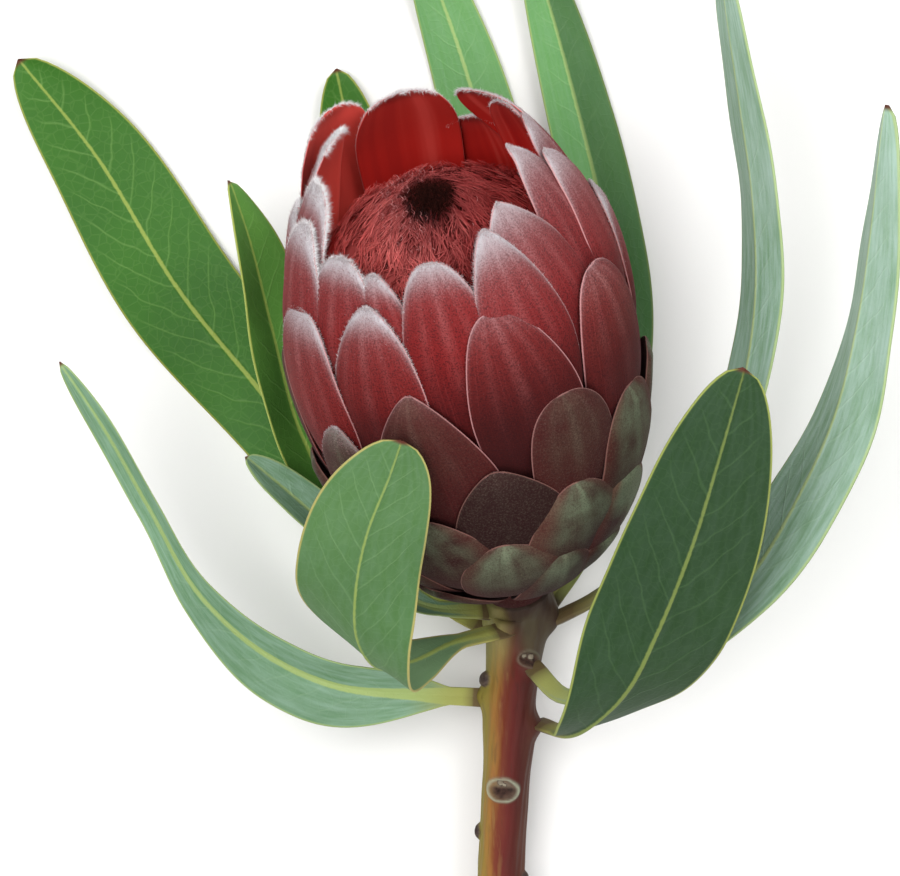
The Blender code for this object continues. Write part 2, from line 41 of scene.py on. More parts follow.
goldenAngle = 137.508


def smoothCurve(knots):
    # a smooth function through (x, y) knots, level past both ends
    xs, ys = np.array(knots, float).T
    slopes = np.gradient(ys, xs)

    def value(x):
        x = np.clip(x, xs[0], xs[-1])
        i = np.clip(np.searchsorted(xs, x, side="right") - 1, 0, len(xs) - 2)
        step = xs[i + 1] - xs[i]
        u = (x - xs[i]) / step
        start = (2 * u**3 - 3 * u**2 + 1) * ys[i] + (u**3 - 2 * u**2 + u) * step * slopes[i]
        return start + (3 * u**2 - 2 * u**3) * ys[i + 1] + (u**3 - u**2) * step * slopes[i + 1]

    return value


def runsAlong(points):
    # how far along a row of points each one lies
    return np.concatenate([[0], np.cumsum(np.linalg.norm(np.diff(points, axis=0), axis=1))])


def smoothLine(points):
    # a smooth line through points, by the share of its length
    points = np.array(points, float)
    runs = runsAlong(points)
    axes = [smoothCurve(np.column_stack([runs / runs[-1], points[:, k]])) for k in range(3)]
    return lambda share: np.stack([axis(share) for axis in axes], axis=-1)


def unit(vectors):
    return vectors / np.maximum(np.linalg.norm(vectors, axis=-1, keepdims=True), 1e-9)


def smoothStep(low, high, x):
    u = np.clip((x - low) / (high - low), 0, 1)
    return u * u * (3 - 2 * u)


# Meshes. A part is (points, faces, marks): marks are numbers or vectors kept at every point,
# which the materials read.


def flat(value, depth):
    # a grid of numbers or vectors in one row
    return value.reshape(-1, *value.shape[depth:])


def slabPart(upper, lower, marks):
    # a closed slab between two grids of points, rows by columns
    rows, columns = upper.shape[:2]
    count = rows * columns
    points = np.concatenate([flat(upper, 2), flat(lower, 2)])
    index = np.arange(count).reshape(rows, columns)
    a, b = index[:-1, :-1].ravel(), index[:-1, 1:].ravel()
    c, d = index[1:, 1:].ravel(), index[1:, :-1].ravel()
    faces = np.concatenate([np.stack([a, b, c, d], 1), np.stack([d, c, b, a], 1) + count])
    rim = np.concatenate([index[0], index[1:, -1], index[-1, -2::-1], index[-2:0:-1, 0]])
    following = np.roll(rim, -1)
    edge = np.stack([following, rim, rim + count, following + count], 1)
    kept = {name: np.concatenate([flat(side, 2) for side in sides]) for name, sides in marks.items()}
    return points, np.concatenate([faces, edge]), kept


def tubePart(rings, marks):
    # a closed tube through rings of points, with a point in the middle of each end
    count, sides = rings.shape[:2]
    index = np.arange(count * sides).reshape(count, sides)
    near, far = index[:-1], index[1:]
    quads = np.stack([near, np.roll(near, -1, 1), np.roll(far, -1, 1), far], -1).reshape(-1, 4)
    points = np.concatenate([flat(rings, 2), rings[0].mean(0)[None], rings[-1].mean(0)[None]])
    middle = count * sides
    first, last = index[0], index[-1]
    start = np.stack([np.full(sides, middle), np.roll(first, -1), first], -1)
    end = np.stack([np.full(sides, middle + 1), last, np.roll(last, -1)], -1)
    ends = np.concatenate([start, end])
    kept = {}
    for name, value in marks.items():
        value = flat(value, 2)
        kept[name] = np.concatenate([value, value[:1], value[-1:]])
    return points, np.concatenate([quads, np.column_stack([ends, ends[:, 2]])]), kept


def turnedPart(profile, sides):
    # a turned shape from (radius, height), closed at both ends
    radius, height = np.array(profile, float).T[..., None]
    angle = 2 * math.pi * np.arange(sides) / sides
    x, y = radius * np.sin(angle), -radius * np.cos(angle)
    return tubePart(np.stack([x, y, height + 0 * angle], -1), {})


hairSides = 3


def hairDirections(along):
    # the directions of a hair's sides, square to the way it runs
    aside = unit(np.cross(along, np.array([0.31, 0.52, 0.79])))
    over = np.cross(along, aside)
    turns = [2 * math.pi * k / hairSides for k in range(hairSides)]
    return [aside * math.cos(turn) + over * math.sin(turn) for turn in turns]


def spikePart(roots, tips, bends, widths, marks):
    # many thin closed hairs at once: a three-sided foot, a bend in the middle if any, and a point
    levels = [(roots, 1.0)]
    hair = [(0, 1, 3, 3), (1, 2, 3, 3), (2, 0, 3, 3), (2, 1, 0, 0)]
    if bends is not None:
        levels.append(((roots + tips) / 2 + bends, 0.72))
        hair = [(0, 1, 4, 3), (1, 2, 5, 4), (2, 0, 3, 5), (3, 4, 6, 6), (4, 5, 6, 6), (5, 3, 6, 6)]
        hair.append((2, 1, 0, 0))
    outward = hairDirections(unit(tips - roots))
    rings = [centre + out * widths[:, None] * size for centre, size in levels for out in outward]
    points = flat(np.stack([*rings, tips], 1), 2)
    each = hairSides * len(levels) + 1
    faces = (np.arange(len(roots))[:, None, None] * each + np.array(hair)[None]).reshape(-1, 4)
    kept = {name: flat(np.repeat(value[:, None], each, 1), 2) for name, value in marks.items()}
    return points, faces, kept


def strandPart(lines, widths, marks):
    # many tapered strands at once, each through a row of points
    count, steps = lines.shape[:2]
    taper = np.linspace(1, 0.25, steps)[None, :, None]
    outward = hairDirections(unit(np.gradient(lines, axis=1)))
    points = flat(np.stack([lines + out * widths[:, None, None] * taper for out in outward], 2), 3)
    index = np.arange(count * steps * hairSides).reshape(count, steps, hairSides)
    near, far = index[:, :-1], index[:, 1:]
    faces = flat(np.stack([near, np.roll(near, -1, 2), np.roll(far, -1, 2), far], -1), 3)
    first, last = index[:, 0], index[:, -1]
    start, end = first[:, [2, 1, 0, 0]], last[:, [0, 1, 2, 2]]
    kept = {name: flat(np.repeat(value[:, :, None], hairSides, 2), 3) for name, value in marks.items()}
    return points, np.concatenate([faces, start, end]), kept


def gridOf(like, *values):
    # numbers and grids stacked into one grid of vectors
    return np.stack([value + 0 * like for value in values], -1)


def joinParts(parts):
    points, faces, marks, start = [], [], {}, 0
    for partPoints, partFaces, partMarks in parts:
        points.append(partPoints)
        faces.append(partFaces + start)
        for name, value in partMarks.items():
            marks.setdefault(name, []).append(value)
        start += len(partPoints)
    joined = {name: np.concatenate(values) for name, values in marks.items()}
    return np.concatenate(points), np.concatenate(faces), joined


def makePiece(name, part, finishes, node, place=None, faceFinish=None):
    # a piece of the scene, riding on the part; it takes the place of a node, if one is named
    points, faces, marks = part
    if place is not None:
        points = points @ place[:3, :3].T + place[:3, 3]
    mesh = bpy.data.meshes.new(name)
    corners = [tuple(face[:3]) if face[2] == face[3] else tuple(face) for face in faces.tolist()]
    mesh.from_pydata((points * mm).tolist(), [], corners)
    for mark, value in marks.items():
        kind, field = ("FLOAT_VECTOR", "vector") if value.ndim > 1 else ("FLOAT", "value")
        layer = mesh.attributes.new(mark, kind, "POINT")
        layer.data.foreach_set(field, value.astype(np.float32).ravel())
    for finish in finishes:
        mesh.materials.append(finish)
    if faceFinish is not None:
        mesh.polygons.foreach_set("material_index", faceFinish.astype(np.int32))
    mesh.shade_smooth()
    mesh.update()
    piece = bpy.data.objects.new(name, mesh)
    bpy.context.scene.collection.objects.link(piece)
    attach(piece, "root")
    if node:
        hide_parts(node)


# Materials


def paint(red, green, blue):
    # a colour as a painter reads it (0 to 255), turned into light
    levels = [value / 255 for value in (red, green, blue)]
    return (*[v / 12.92 if v <= 0.04045 else ((v + 0.055) / 1.055) ** 2.4 for v in levels], 1)


def connect(tree, socket, value):
    if isinstance(value, bpy.types.NodeSocket):
        tree.links.new(value, socket)
    elif value is not None:
        socket.default_value = value


def addNode(tree, kind, inputs=None, **settings):
    node = tree.nodes.new(kind)
    for name, value in settings.items():
        setattr(node, name, value)
    for name, value in (inputs or {}).items():
        connect(tree, node.inputs[name], value)
    return node


def maths(tree, operation, first, second=None, clamp=False):
    node = addNode(tree, "ShaderNodeMath", operation=operation, use_clamp=clamp)
    connect(tree, node.inputs[0], first)
    connect(tree, node.inputs[1], second)
    return node.outputs[0]


def times(tree, first, second, clamp=False):
    return maths(tree, "MULTIPLY", first, second, clamp=clamp)


def plus(tree, first, second, clamp=False):
    return maths(tree, "ADD", first, second, clamp=clamp)


def minus(tree, first, second):
    return maths(tree, "SUBTRACT", first, second)


def blend(tree, share, first, second, mode="MIX"):
    # colours are sockets or painter's colours
    node = addNode(tree, "ShaderNodeMix", data_type="RGBA", blend_type=mode)
    connect(tree, node.inputs[0], share)
    for socket, colour in zip((node.inputs[6], node.inputs[7]), (first, second)):
        connect(tree, socket, paint(*colour) if isinstance(colour, tuple) else colour)
    return node.outputs[2]


def tint(tree, under, layer, share, clamp=False):
    # a layer of paint, its colour and how strong it is, laid over another colour
    colour, strength = layer
    return blend(tree, times(tree, share, strength, clamp), under, colour)


def fade(tree, value, low, high):
    node = addNode(tree, "ShaderNodeMapRange", interpolation_type="SMOOTHSTEP")
    connect(tree, node.inputs[0], value)
    node.inputs[1].default_value = low
    node.inputs[2].default_value = high
    return node.outputs[0]


def ramp(tree, value, stops):
    node = addNode(tree, "ShaderNodeValToRGB", {"Fac": value})
    while len(node.color_ramp.elements) < len(stops):
        node.color_ramp.elements.new(0.5)
    for element, (position, colour) in zip(node.color_ramp.elements, stops):
        element.position = position
        element.color = paint(*colour)
    return node.outputs[0]


def noiseOf(tree, scale, detail, vector=None, roughness=0.55):
    if vector is None:
        vector = addNode(tree, "ShaderNodeTexCoord").outputs["Object"]
    sizes = {"Vector": vector, "Scale": scale, "Detail": detail, "Roughness": roughness}
    return addNode(tree, "ShaderNodeTexNoise", sizes).outputs[0]


def readMark(tree, name):
    return addNode(tree, "ShaderNodeAttribute", attribute_name=name)


def splitMark(tree, name):
    vector = readMark(tree, name).outputs["Vector"]
    return addNode(tree, "ShaderNodeSeparateXYZ", {"Vector": vector}).outputs


def newGroup(name, inputs, outputs):
    # a node group with inputs and their usual values, numbers or vectors, and outputs, all numbers
    tree = bpy.data.node_groups.new(name, "ShaderNodeTree")
    for socketName, value in inputs.items():
        kind = "NodeSocketVector" if isinstance(value, tuple) else "NodeSocketFloat"
        tree.interface.new_socket(socketName, in_out="INPUT", socket_type=kind).default_value = value
    for socketName in outputs:
        tree.interface.new_socket(socketName, in_out="OUTPUT", socket_type="NodeSocketFloat")
    return tree, tree.nodes.new("NodeGroupInput").outputs, tree.nodes.new("NodeGroupOutput").inputs


def useGroup(tree, group, inputs):
    node = addNode(tree, "ShaderNodeGroup", node_tree=group)
    for name, value in inputs.items():
        connect(tree, node.inputs[name], value)
    return node.outputs


def newFinish(name, **shaderValues):
    finish = bpy.data.materials.new(name)
    finish.use_nodes = True
    tree = finish.node_tree
    shader = tree.nodes["Principled BSDF"]
    for socketName, value in shaderValues.items():
        shader.inputs[socketName.replace("_", " ")].default_value = value
    return finish, tree, shader


def addBump(tree, shader, height, strength, distance):
    inputs = {"Height": height, "Strength": strength, "Distance": distance}
    connect(tree, shader.inputs["Normal"], addNode(tree, "ShaderNodeBump", inputs).outputs[0])


def makeSpeckle():
    # fine pale specks, as short down looks from above; more of them where Amount is high
    inputs = {"Amount": 0.3, "Scale": 3000.0, "Softness": 0.12}
    tree, given, out = newGroup("fineSpeckle", inputs, ["Mask", "Height"])
    grain = noiseOf(tree, given["Scale"], 2.0, roughness=0.7)
    level = minus(tree, 0.78, times(tree, given["Amount"], 0.56))
    mask = maths(tree, "DIVIDE", minus(tree, grain, level), given["Softness"], clamp=True)
    connect(tree, out["Mask"], mask)
    connect(tree, out["Height"], grain)
    return tree


def makeMottle():
    # slow changes of tone over a skin, 0 to 1
    inputs = {"Scale": 60.0, "Stretch": (1, 1, 1), "Contrast": 2.0}
    tree, given, out = newGroup("slowMottle", inputs, ["Tone"])
    stretched = addNode(tree, "ShaderNodeVectorMath", {
        0: addNode(tree, "ShaderNodeTexCoord").outputs["Object"], 1: given["Stretch"],
    }, operation="MULTIPLY")
    tone = noiseOf(tree, given["Scale"], 4.0, stretched.outputs[0])
    centred = times(tree, minus(tree, tone, 0.5), given["Contrast"])
    connect(tree, out["Tone"], plus(tree, centred, 0.5, clamp=True))
    return tree


veins = {
    "bow": 0.04,  # how much further they climb towards the margin
    "sideStep": 0.23,  # how far the right ones stand from the left ones, in spacings
    "wander": 0.9,
    "width": 0.075,  # in spacings
    "fadeOut": (0.6, 4.5),  # where they end, in millimetres from the margin
    "fray": 0.3,
    "ribSoftness": (0.22, -0.12),
    "marginSoftness": (0.25, -0.1),
    "netScale": 520.0,
}


def makeLeafPattern():
    # midrib, side veins, net and margin of a leaf, from where a point lies on it, in millimetres
    inputs = {
        "Along": 0.0, "Across": 0.0, "Half": 10.0, "Rib": 0.5, "Spacing": 7.0, "Slope": 1.1,
        "Margin": 0.26,
    }
    tree, given, out = newGroup("leafPattern", inputs, ["Rib", "Vein", "Net", "Margin"])
    aside = times(tree, maths(tree, "ABSOLUTE", given["Across"]), given["Half"])
    bowed = plus(tree, aside, times(tree, times(tree, aside, aside), veins["bow"]))
    climb = minus(tree, given["Along"], times(tree, bowed, given["Slope"]))
    side = times(tree, maths(tree, "SIGN", given["Across"]), veins["sideStep"])
    turns = plus(tree, maths(tree, "DIVIDE", climb, given["Spacing"]), side)
    turns = plus(tree, turns, times(tree, noiseOf(tree, 90.0, 2.0), veins["wander"]))
    off = maths(tree, "ABSOLUTE", minus(tree, maths(tree, "FRACT", turns), 0.5))
    fromMargin = minus(tree, given["Half"], aside)
    line = fade(tree, off, veins["width"], 0.0)
    line = times(tree, line, fade(tree, fromMargin, *veins["fadeOut"]))
    connect(tree, out["Vein"], line)
    fray = times(tree, minus(tree, noiseOf(tree, 900.0, 2.0), 0.5), veins["fray"])
    ribGap = plus(tree, minus(tree, aside, given["Rib"]), fray)
    connect(tree, out["Rib"], fade(tree, ribGap, *veins["ribSoftness"]))
    place = addNode(tree, "ShaderNodeTexCoord").outputs["Object"]
    sizes = {"Vector": place, "Scale": veins["netScale"]}
    cells = addNode(tree, "ShaderNodeTexVoronoi", sizes, feature="DISTANCE_TO_EDGE")
    connect(tree, out["Net"], fade(tree, cells.outputs["Distance"], 0.1, 0.0))
    marginGap = minus(tree, fromMargin, given["Margin"])
    connect(tree, out["Margin"], fade(tree, marginGap, *veins["marginSoftness"]))
    return tree


speckle, mottle, leafPattern = makeSpeckle(), makeMottle(), makeLeafPattern()


def mottled(tree, scale, contrast, stretch=(1, 1, 1)):
    return useGroup(tree, mottle, {"Scale": scale, "Stretch": stretch, "Contrast": contrast})["Tone"]


# Flower head


head = {
    "base": (4.5, -33.2, 16.4),
    "pitch": 25.8,
    "lean": 11.5,
    "outline": [
        (0, 6.5), (4.6, 11.3), (9.2, 17.3), (14, 22.2), (18.5, 25.6), (28, 30), (37, 32.6), (46, 34),
        (55, 34.9), (65, 34.8), (74, 33.6), (83, 31), (92.5, 27.2), (100, 22.6), (104, 19.6),
    ],
}
headRadius = smoothCurve(head["outline"])
outlineHeights = np.linspace(0, head["outline"][-1][0], 209)
outlineRuns = runsAlong(np.column_stack([outlineHeights, headRadius(outlineHeights)]))


def headPlace():
    # from the head's own frame (z along its axis, -y its upper side) to the world
    pitch, lean = math.radians(head["pitch"]), math.radians(head["lean"])
    axis = Vector((-math.sin(lean) * math.cos(pitch), math.cos(lean) * math.cos(pitch), math.sin(pitch)))
    right = Vector((math.cos(lean), math.sin(lean), 0))
    place = np.eye(4)
    place[:3, 0], place[:3, 1], place[:3, 2] = right, axis.cross(right), axis
    place[:3, 3] = head["base"]
    return place


bracts = {
    "seed": 11,
    "count": 62,
    "firstAt": 198.7,
    "tips": [(0, 5.5), (12, 23), (25, 47), (38, 80.5), (46, 94), (61, 103.5)],
    "lengths": [(0, 9), (12, 19), (25, 32), (38, 40), (61, 44)],
    "widths": [(0, 12), (12, 21), (25, 24), (33, 22), (38, 20.5), (61, 19)],
    # bracts that stand away from the spiral: how far round their tip is, its height, how many
    # degrees the body stands to the right of the tip, and how far the tip curls in
    "moved": {
        4: (22, 25, 1, 0), 9: (45, 21, 2, 0), 12: (0, 32, 2, 0), 14: (53, 35.5, 3, 0), 17: (28, 41.5, 2, 0),
        20: (-27, 40, 3, 0), 22: (58, 53.5, 5, 0), 25: (2, 50.5, 5, 0), 28: (-50, 59.5, 0, 0),
        30: (28.5, 62, 4, 0), 33: (-20, 69, 4, 0), 35: (57, 80, 5, 0), 36: (-64, 81, 1, 0),
        38: (12, 82, 7, 0), 41: (-32, 85.3, 1, 0), 43: (19, 95.4, 6, 0), 44: (-70, 95.6, -2, 0),
        46: (-6, 92.4, 4, 0), 47: (-138, 103.5, 0, -4.5), 48: (76, 99, 8, 0), 49: (-45, 92.7, -2, 0),
        50: (157, 93, 0, 0), 51: (30, 98.5, 10, 0), 52: (-96, 93, 0, 0), 53: (147, 102.5, -38, 0.5),
        54: (-30.5, 90.2, 0, 0), 55: (-173, 103.5, 0, 0), 56: (60, 103.5, 7, 1.5), 57: (-75, 101.5, -3, 0),
        58: (131, 100, 0, 0), 59: (5, 86, 0, 0), 60: (-119, 103.5, 0, 2.0),
    },
    "twist": 4.0,
    # how many times as wide, and how blunt the tip, where they aren't as usual
    "broad": {
        28: (0.86, 1.8), 30: (0.88, 3.4), 33: (1.14, 1.5), 35: (1.2, 1.7), 36: (1.18, 1.7), 38: (1.14, 1.6),
        47: (1.15, 3.0), 50: (1.1, 2.6), 51: (1.22, 1.7), 52: (1.1, 2.6), 53: (1.25, 2.4), 55: (1.22, 3.2),
        58: (0.9, 2.0), 60: (1.1, 1.8),
    },
    # how sharp the tip is, where it isn't round
    "sharp": {
        12: 0.7, 14: 0.6, 17: 0.7, 25: 0.75, 28: 0.65, 33: 0.8, 41: 0.65, 43: 0.75, 48: 0.7, 51: 0.85,
        54: 0.75, 56: 0.85,
    },
    # how much further the margins bend in, in millimetres, or less far
    "tucked": {23: 1.1, 32: 1.1, 35: 1.2, 38: -0.85},
    # how much longer and closer the fringe is, where it isn't as usual
    "shaggy": {43: 1.3, 44: 1.5, 49: 1.3, 52: 1.3, 53: 1.2, 57: 1.6, 60: 1.5},
    # how much of the painted shade towards the foot of the head a bract takes, where not all
    "shaded": {14: 0.8, 25: 1.5, 36: 0, 38: 1.25, 41: 0.7, 46: 0.8, 49: 0.5},
    # how much of the grey-green bloom it has, where not all
    "bloomed": {
        4: 1.1, 9: 1.3, 12: 1.1, 14: 2.4, 17: 1.5, 22: 1.2, 25: 0.0, 28: 0.5, 30: 0.25, 33: 0.3, 35: 3.5,
    },
    # between which shares of the head's height the down whitens, and how white it is, 0 to 1,
    # where it isn't as usual at that height
    "whitening": (0.62, 0.9),
    "whiteness": {
        28: 0.42, 33: 0.1, 35: 0.15, 36: 0.7, 38: 0.2, 41: 0.8, 43: 0.6, 44: 1, 46: 0.62, 48: 0.35,
        47: 1, 49: 0.85, 51: 0.32, 52: 1, 53: 0.8, 54: 0.7, 55: 1, 56: 0.37, 57: 1.1, 60: 1.1, 61: 0.4,
    },
    "mouthTop": 103.5,
    "mouthDip": 9.0,
    "mouthDipAt": -38.0,
    "mouthDipSpread": 50.0,
    "thickness": 0.7,
    "edgeThickness": 0.25,
    # a veil of down on the right: the bearings where it begins and ends, and its heights
    "veilFrom": (8, 30),
    "veilTo": (95, 120),
    "veilHeights": (0.76, 0.86),
    # the usual half width: the share of the length where it is widest, its foot and its tip,
    # and how blunt the tip is on low and on high bracts
    "widestAt": 0.46,
    "footWidth": 0.78,
    "tipWidth": 0.03,
    "usualBreadth": 1.05,
    "bluntness": [(12, 2.6), (32, 1.6)],
    # how deep each lies under the ones outside it, and how its root sinks into the head
    "layerStep": 0.15,
    "rootDepth": 4.6,
    "lowestRoot": 3.0,
    "rootStep": 0.13,
    # how far the tip bends in, from which share of the length on, and how far the margins do
    "tipTuck": 0.1,
    "tipFrom": 0.88,
    "edgeTuck": 0.33,
    "marginTuck": 0.55,
    "keel": 0.18,
    "keelWidth": 0.2,
    "waviness": 0.3,
    "rows": 30,
    "columns": 18,
    # painted shade darkens the head between these heights, and a painted glow brightens its bracts inside
    # at this bearing
    "shadeFrom": 84,
    "shadeTo": 58,
    "glowAt": -100,
    "paintedGlowSpread": 45,
    # the solid middle: how far it lies behind the outline, and the florets' hollow in it
    "coreDepth": 3.5,
    "coreHeights": (7, 12, 18, 26, 35, 45, 55, 65, 72),
    "hollowRadius": 27.4,
    "hollowRim": 72,
    "hollowFloor": 40,
    # colours by place: up the head, by the down's thickness, and from foot to tip
    "tones": {
        "body": [
            (0.0, (32, 12, 10)), (0.25, (42, 14, 12)), (0.5, (68, 24, 20)), (0.68, (96, 27, 25)),
            (0.85, (123, 27, 26)), (1.0, (116, 28, 30)),
        ],
        "down": [
            (0.0, (140, 84, 84)), (0.35, (152, 126, 128)), (0.7, (168, 157, 160)), (1.0, (182, 177, 181)),
        ],
        "inside": [
            (0.3, (172, 20, 18)), (0.6, (172, 28, 23)), (0.85, (166, 34, 28)), (1.0, (166, 48, 44)),
        ],
        "bloom": (98, 109, 86), "pit": (40, 8, 12), "sheen": (240, 205, 205), "lowBand": (92, 94, 76),
        "lowMargin": (124, 84, 76), "lowInside": (58, 24, 20),
    },
    # layers of paint over them: the colour, and how strong it is. Some are painted light: painted shade
    # towards the head's foot, a painted highlight and painted shade on the inside's folds, and a painted
    # glow inside
    "layers": {
        "patch": ((88, 14, 17), 0.3), "foot": ((70, 10, 13), 0.5), "streak": ((156, 58, 58), 0.3),
        "band": ((166, 92, 92), 0.4), "shade": ((26, 6, 6), 0.62), "flush": ((96, 30, 28), 0.22),
        "dust": ((128, 118, 100), 0.12), "lowDown": ((108, 104, 90), 0.6),
        "margin": ((194, 136, 136), 0.8), "fold": ((210, 80, 72), 0.45), "hollow": ((144, 16, 18), 0.4),
        "glow": ((246, 98, 86), 0.8),
    },
}
bractTip = smoothCurve(bracts["tips"])
bractNumbers = np.arange(bracts["count"])
layerHeights = bractTip(bractNumbers)
bractLength = smoothCurve(bracts["lengths"])
bractWidth = smoothCurve(bracts["widths"])


def bractPlace(number):
    # how far round its tip is, the tip's height, and its twist and curl
    if number in bracts["moved"]:
        return bracts["moved"][number]
    around = (bracts["firstAt"] - goldenAngle * number + 180) % 360 - 180
    dip = math.exp(-(((around - bracts["mouthDipAt"]) / bracts["mouthDipSpread"]) ** 2))
    mouth = bracts["mouthTop"] - bracts["mouthDip"] * dip
    return around, min(layerHeights[number], mouth), bracts["twist"], 0


def bractHalfWidth(number, share):
    # in half widths: a broad foot, and a tip that is blunt low on the head and pointed high on it
    widest, foot, tip = bracts["widestAt"], bracts["footWidth"], bracts["tipWidth"]
    lower = foot + (1 - foot) * np.sin(math.pi / 2 * np.minimum(share / widest, 1))
    u = np.clip((share - widest) / (1 - widest), 0, 1)
    usual = (bracts["usualBreadth"], float(np.interp(number, *zip(*bracts["bluntness"]))))
    wide, blunt = bracts["broad"].get(number, usual)
    power = bracts["sharp"].get(number, 0.5)
    return wide * np.where(share < widest, lower, tip + (1 - tip) * (1 - u**blunt) ** power)


def bractSheet(number, share, across, chance):
    # a bract's middle surface in the head's frame, and its half width
    around, tip, twist, curl = bractPlace(number)
    tipRun = np.interp(tip, outlineHeights, outlineRuns)
    ownTip = np.interp(layerHeights[number], outlineHeights, outlineRuns)
    rootRun = max(bracts["lowestRoot"] + bracts["rootStep"] * number, ownTip - bractLength(number))
    run = rootRun + (tipRun - rootRun) * share
    height = np.interp(run, outlineRuns, outlineHeights)
    radius = headRadius(height)
    depth = bracts["layerStep"] * np.maximum(0, number - np.interp(height, layerHeights, bractNumbers))
    depth = depth + np.maximum(0, bracts["rootDepth"] - depth) * (1 - share) ** 5
    # the margins bend in, and so does the whole tip
    outward = np.maximum(np.abs(across), smoothStep(bracts["tipFrom"], 1, share))
    depth = depth + bracts["edgeTuck"] * outward**2 + bracts["marginTuck"] * outward**4
    depth = depth + bracts["tucked"].get(number, 0) * across**4 * (1 - share**6)
    depth = depth + bracts["tipTuck"] * np.maximum(0, share - 0.8) / 0.2 + curl * share**6
    keel = bracts["keel"] * np.exp(-((across / bracts["keelWidth"]) ** 2)) * smoothStep(0, 0.3, share)
    keel = keel * (1 - smoothStep(0.9, 1, share))
    wave = np.sin(2 * math.pi * (share * chance["turns"] + chance["phase"]))
    wave = chance["height"] * wave * across**2
    half = bractWidth(number) / 2 * bractHalfWidth(number, share)
    ripple = np.sin(9 * share + 6 * chance["phase"])
    half = half + bracts["waviness"] * chance["height"] * ripple * share
    angle = np.radians(around + twist * (1 - share**2)) + across * half / radius
    r = np.maximum(0.5, radius - depth + keel + 0.2 * wave)
    return np.stack([r * np.sin(angle), -r * np.cos(angle), height + 0 * across], -1), half


def sheetNormals(sheet):
    along = np.gradient(sheet, axis=0)
    aside = np.gradient(sheet, axis=1)
    return unit(np.cross(aside, along))


def bractGrid():
    t = np.linspace(0, 1, bracts["rows"] + 1)
    share = np.sin(math.pi / 2 * t) ** 0.9
    c = np.linspace(-1, 1, bracts["columns"] + 1)
    across = np.sin(math.pi / 2 * c) * 0.75 + c * 0.25
    return np.meshgrid(share, across, indexing="ij")


def downStrength(number):
    # how white and long the down is, 0 to 1
    usual = smoothStep(*bracts["whitening"], bractPlace(number)[1] / bracts["mouthTop"])
    return 0.08 + 0.92 * float(bracts["whiteness"].get(number, 0.8 * usual))


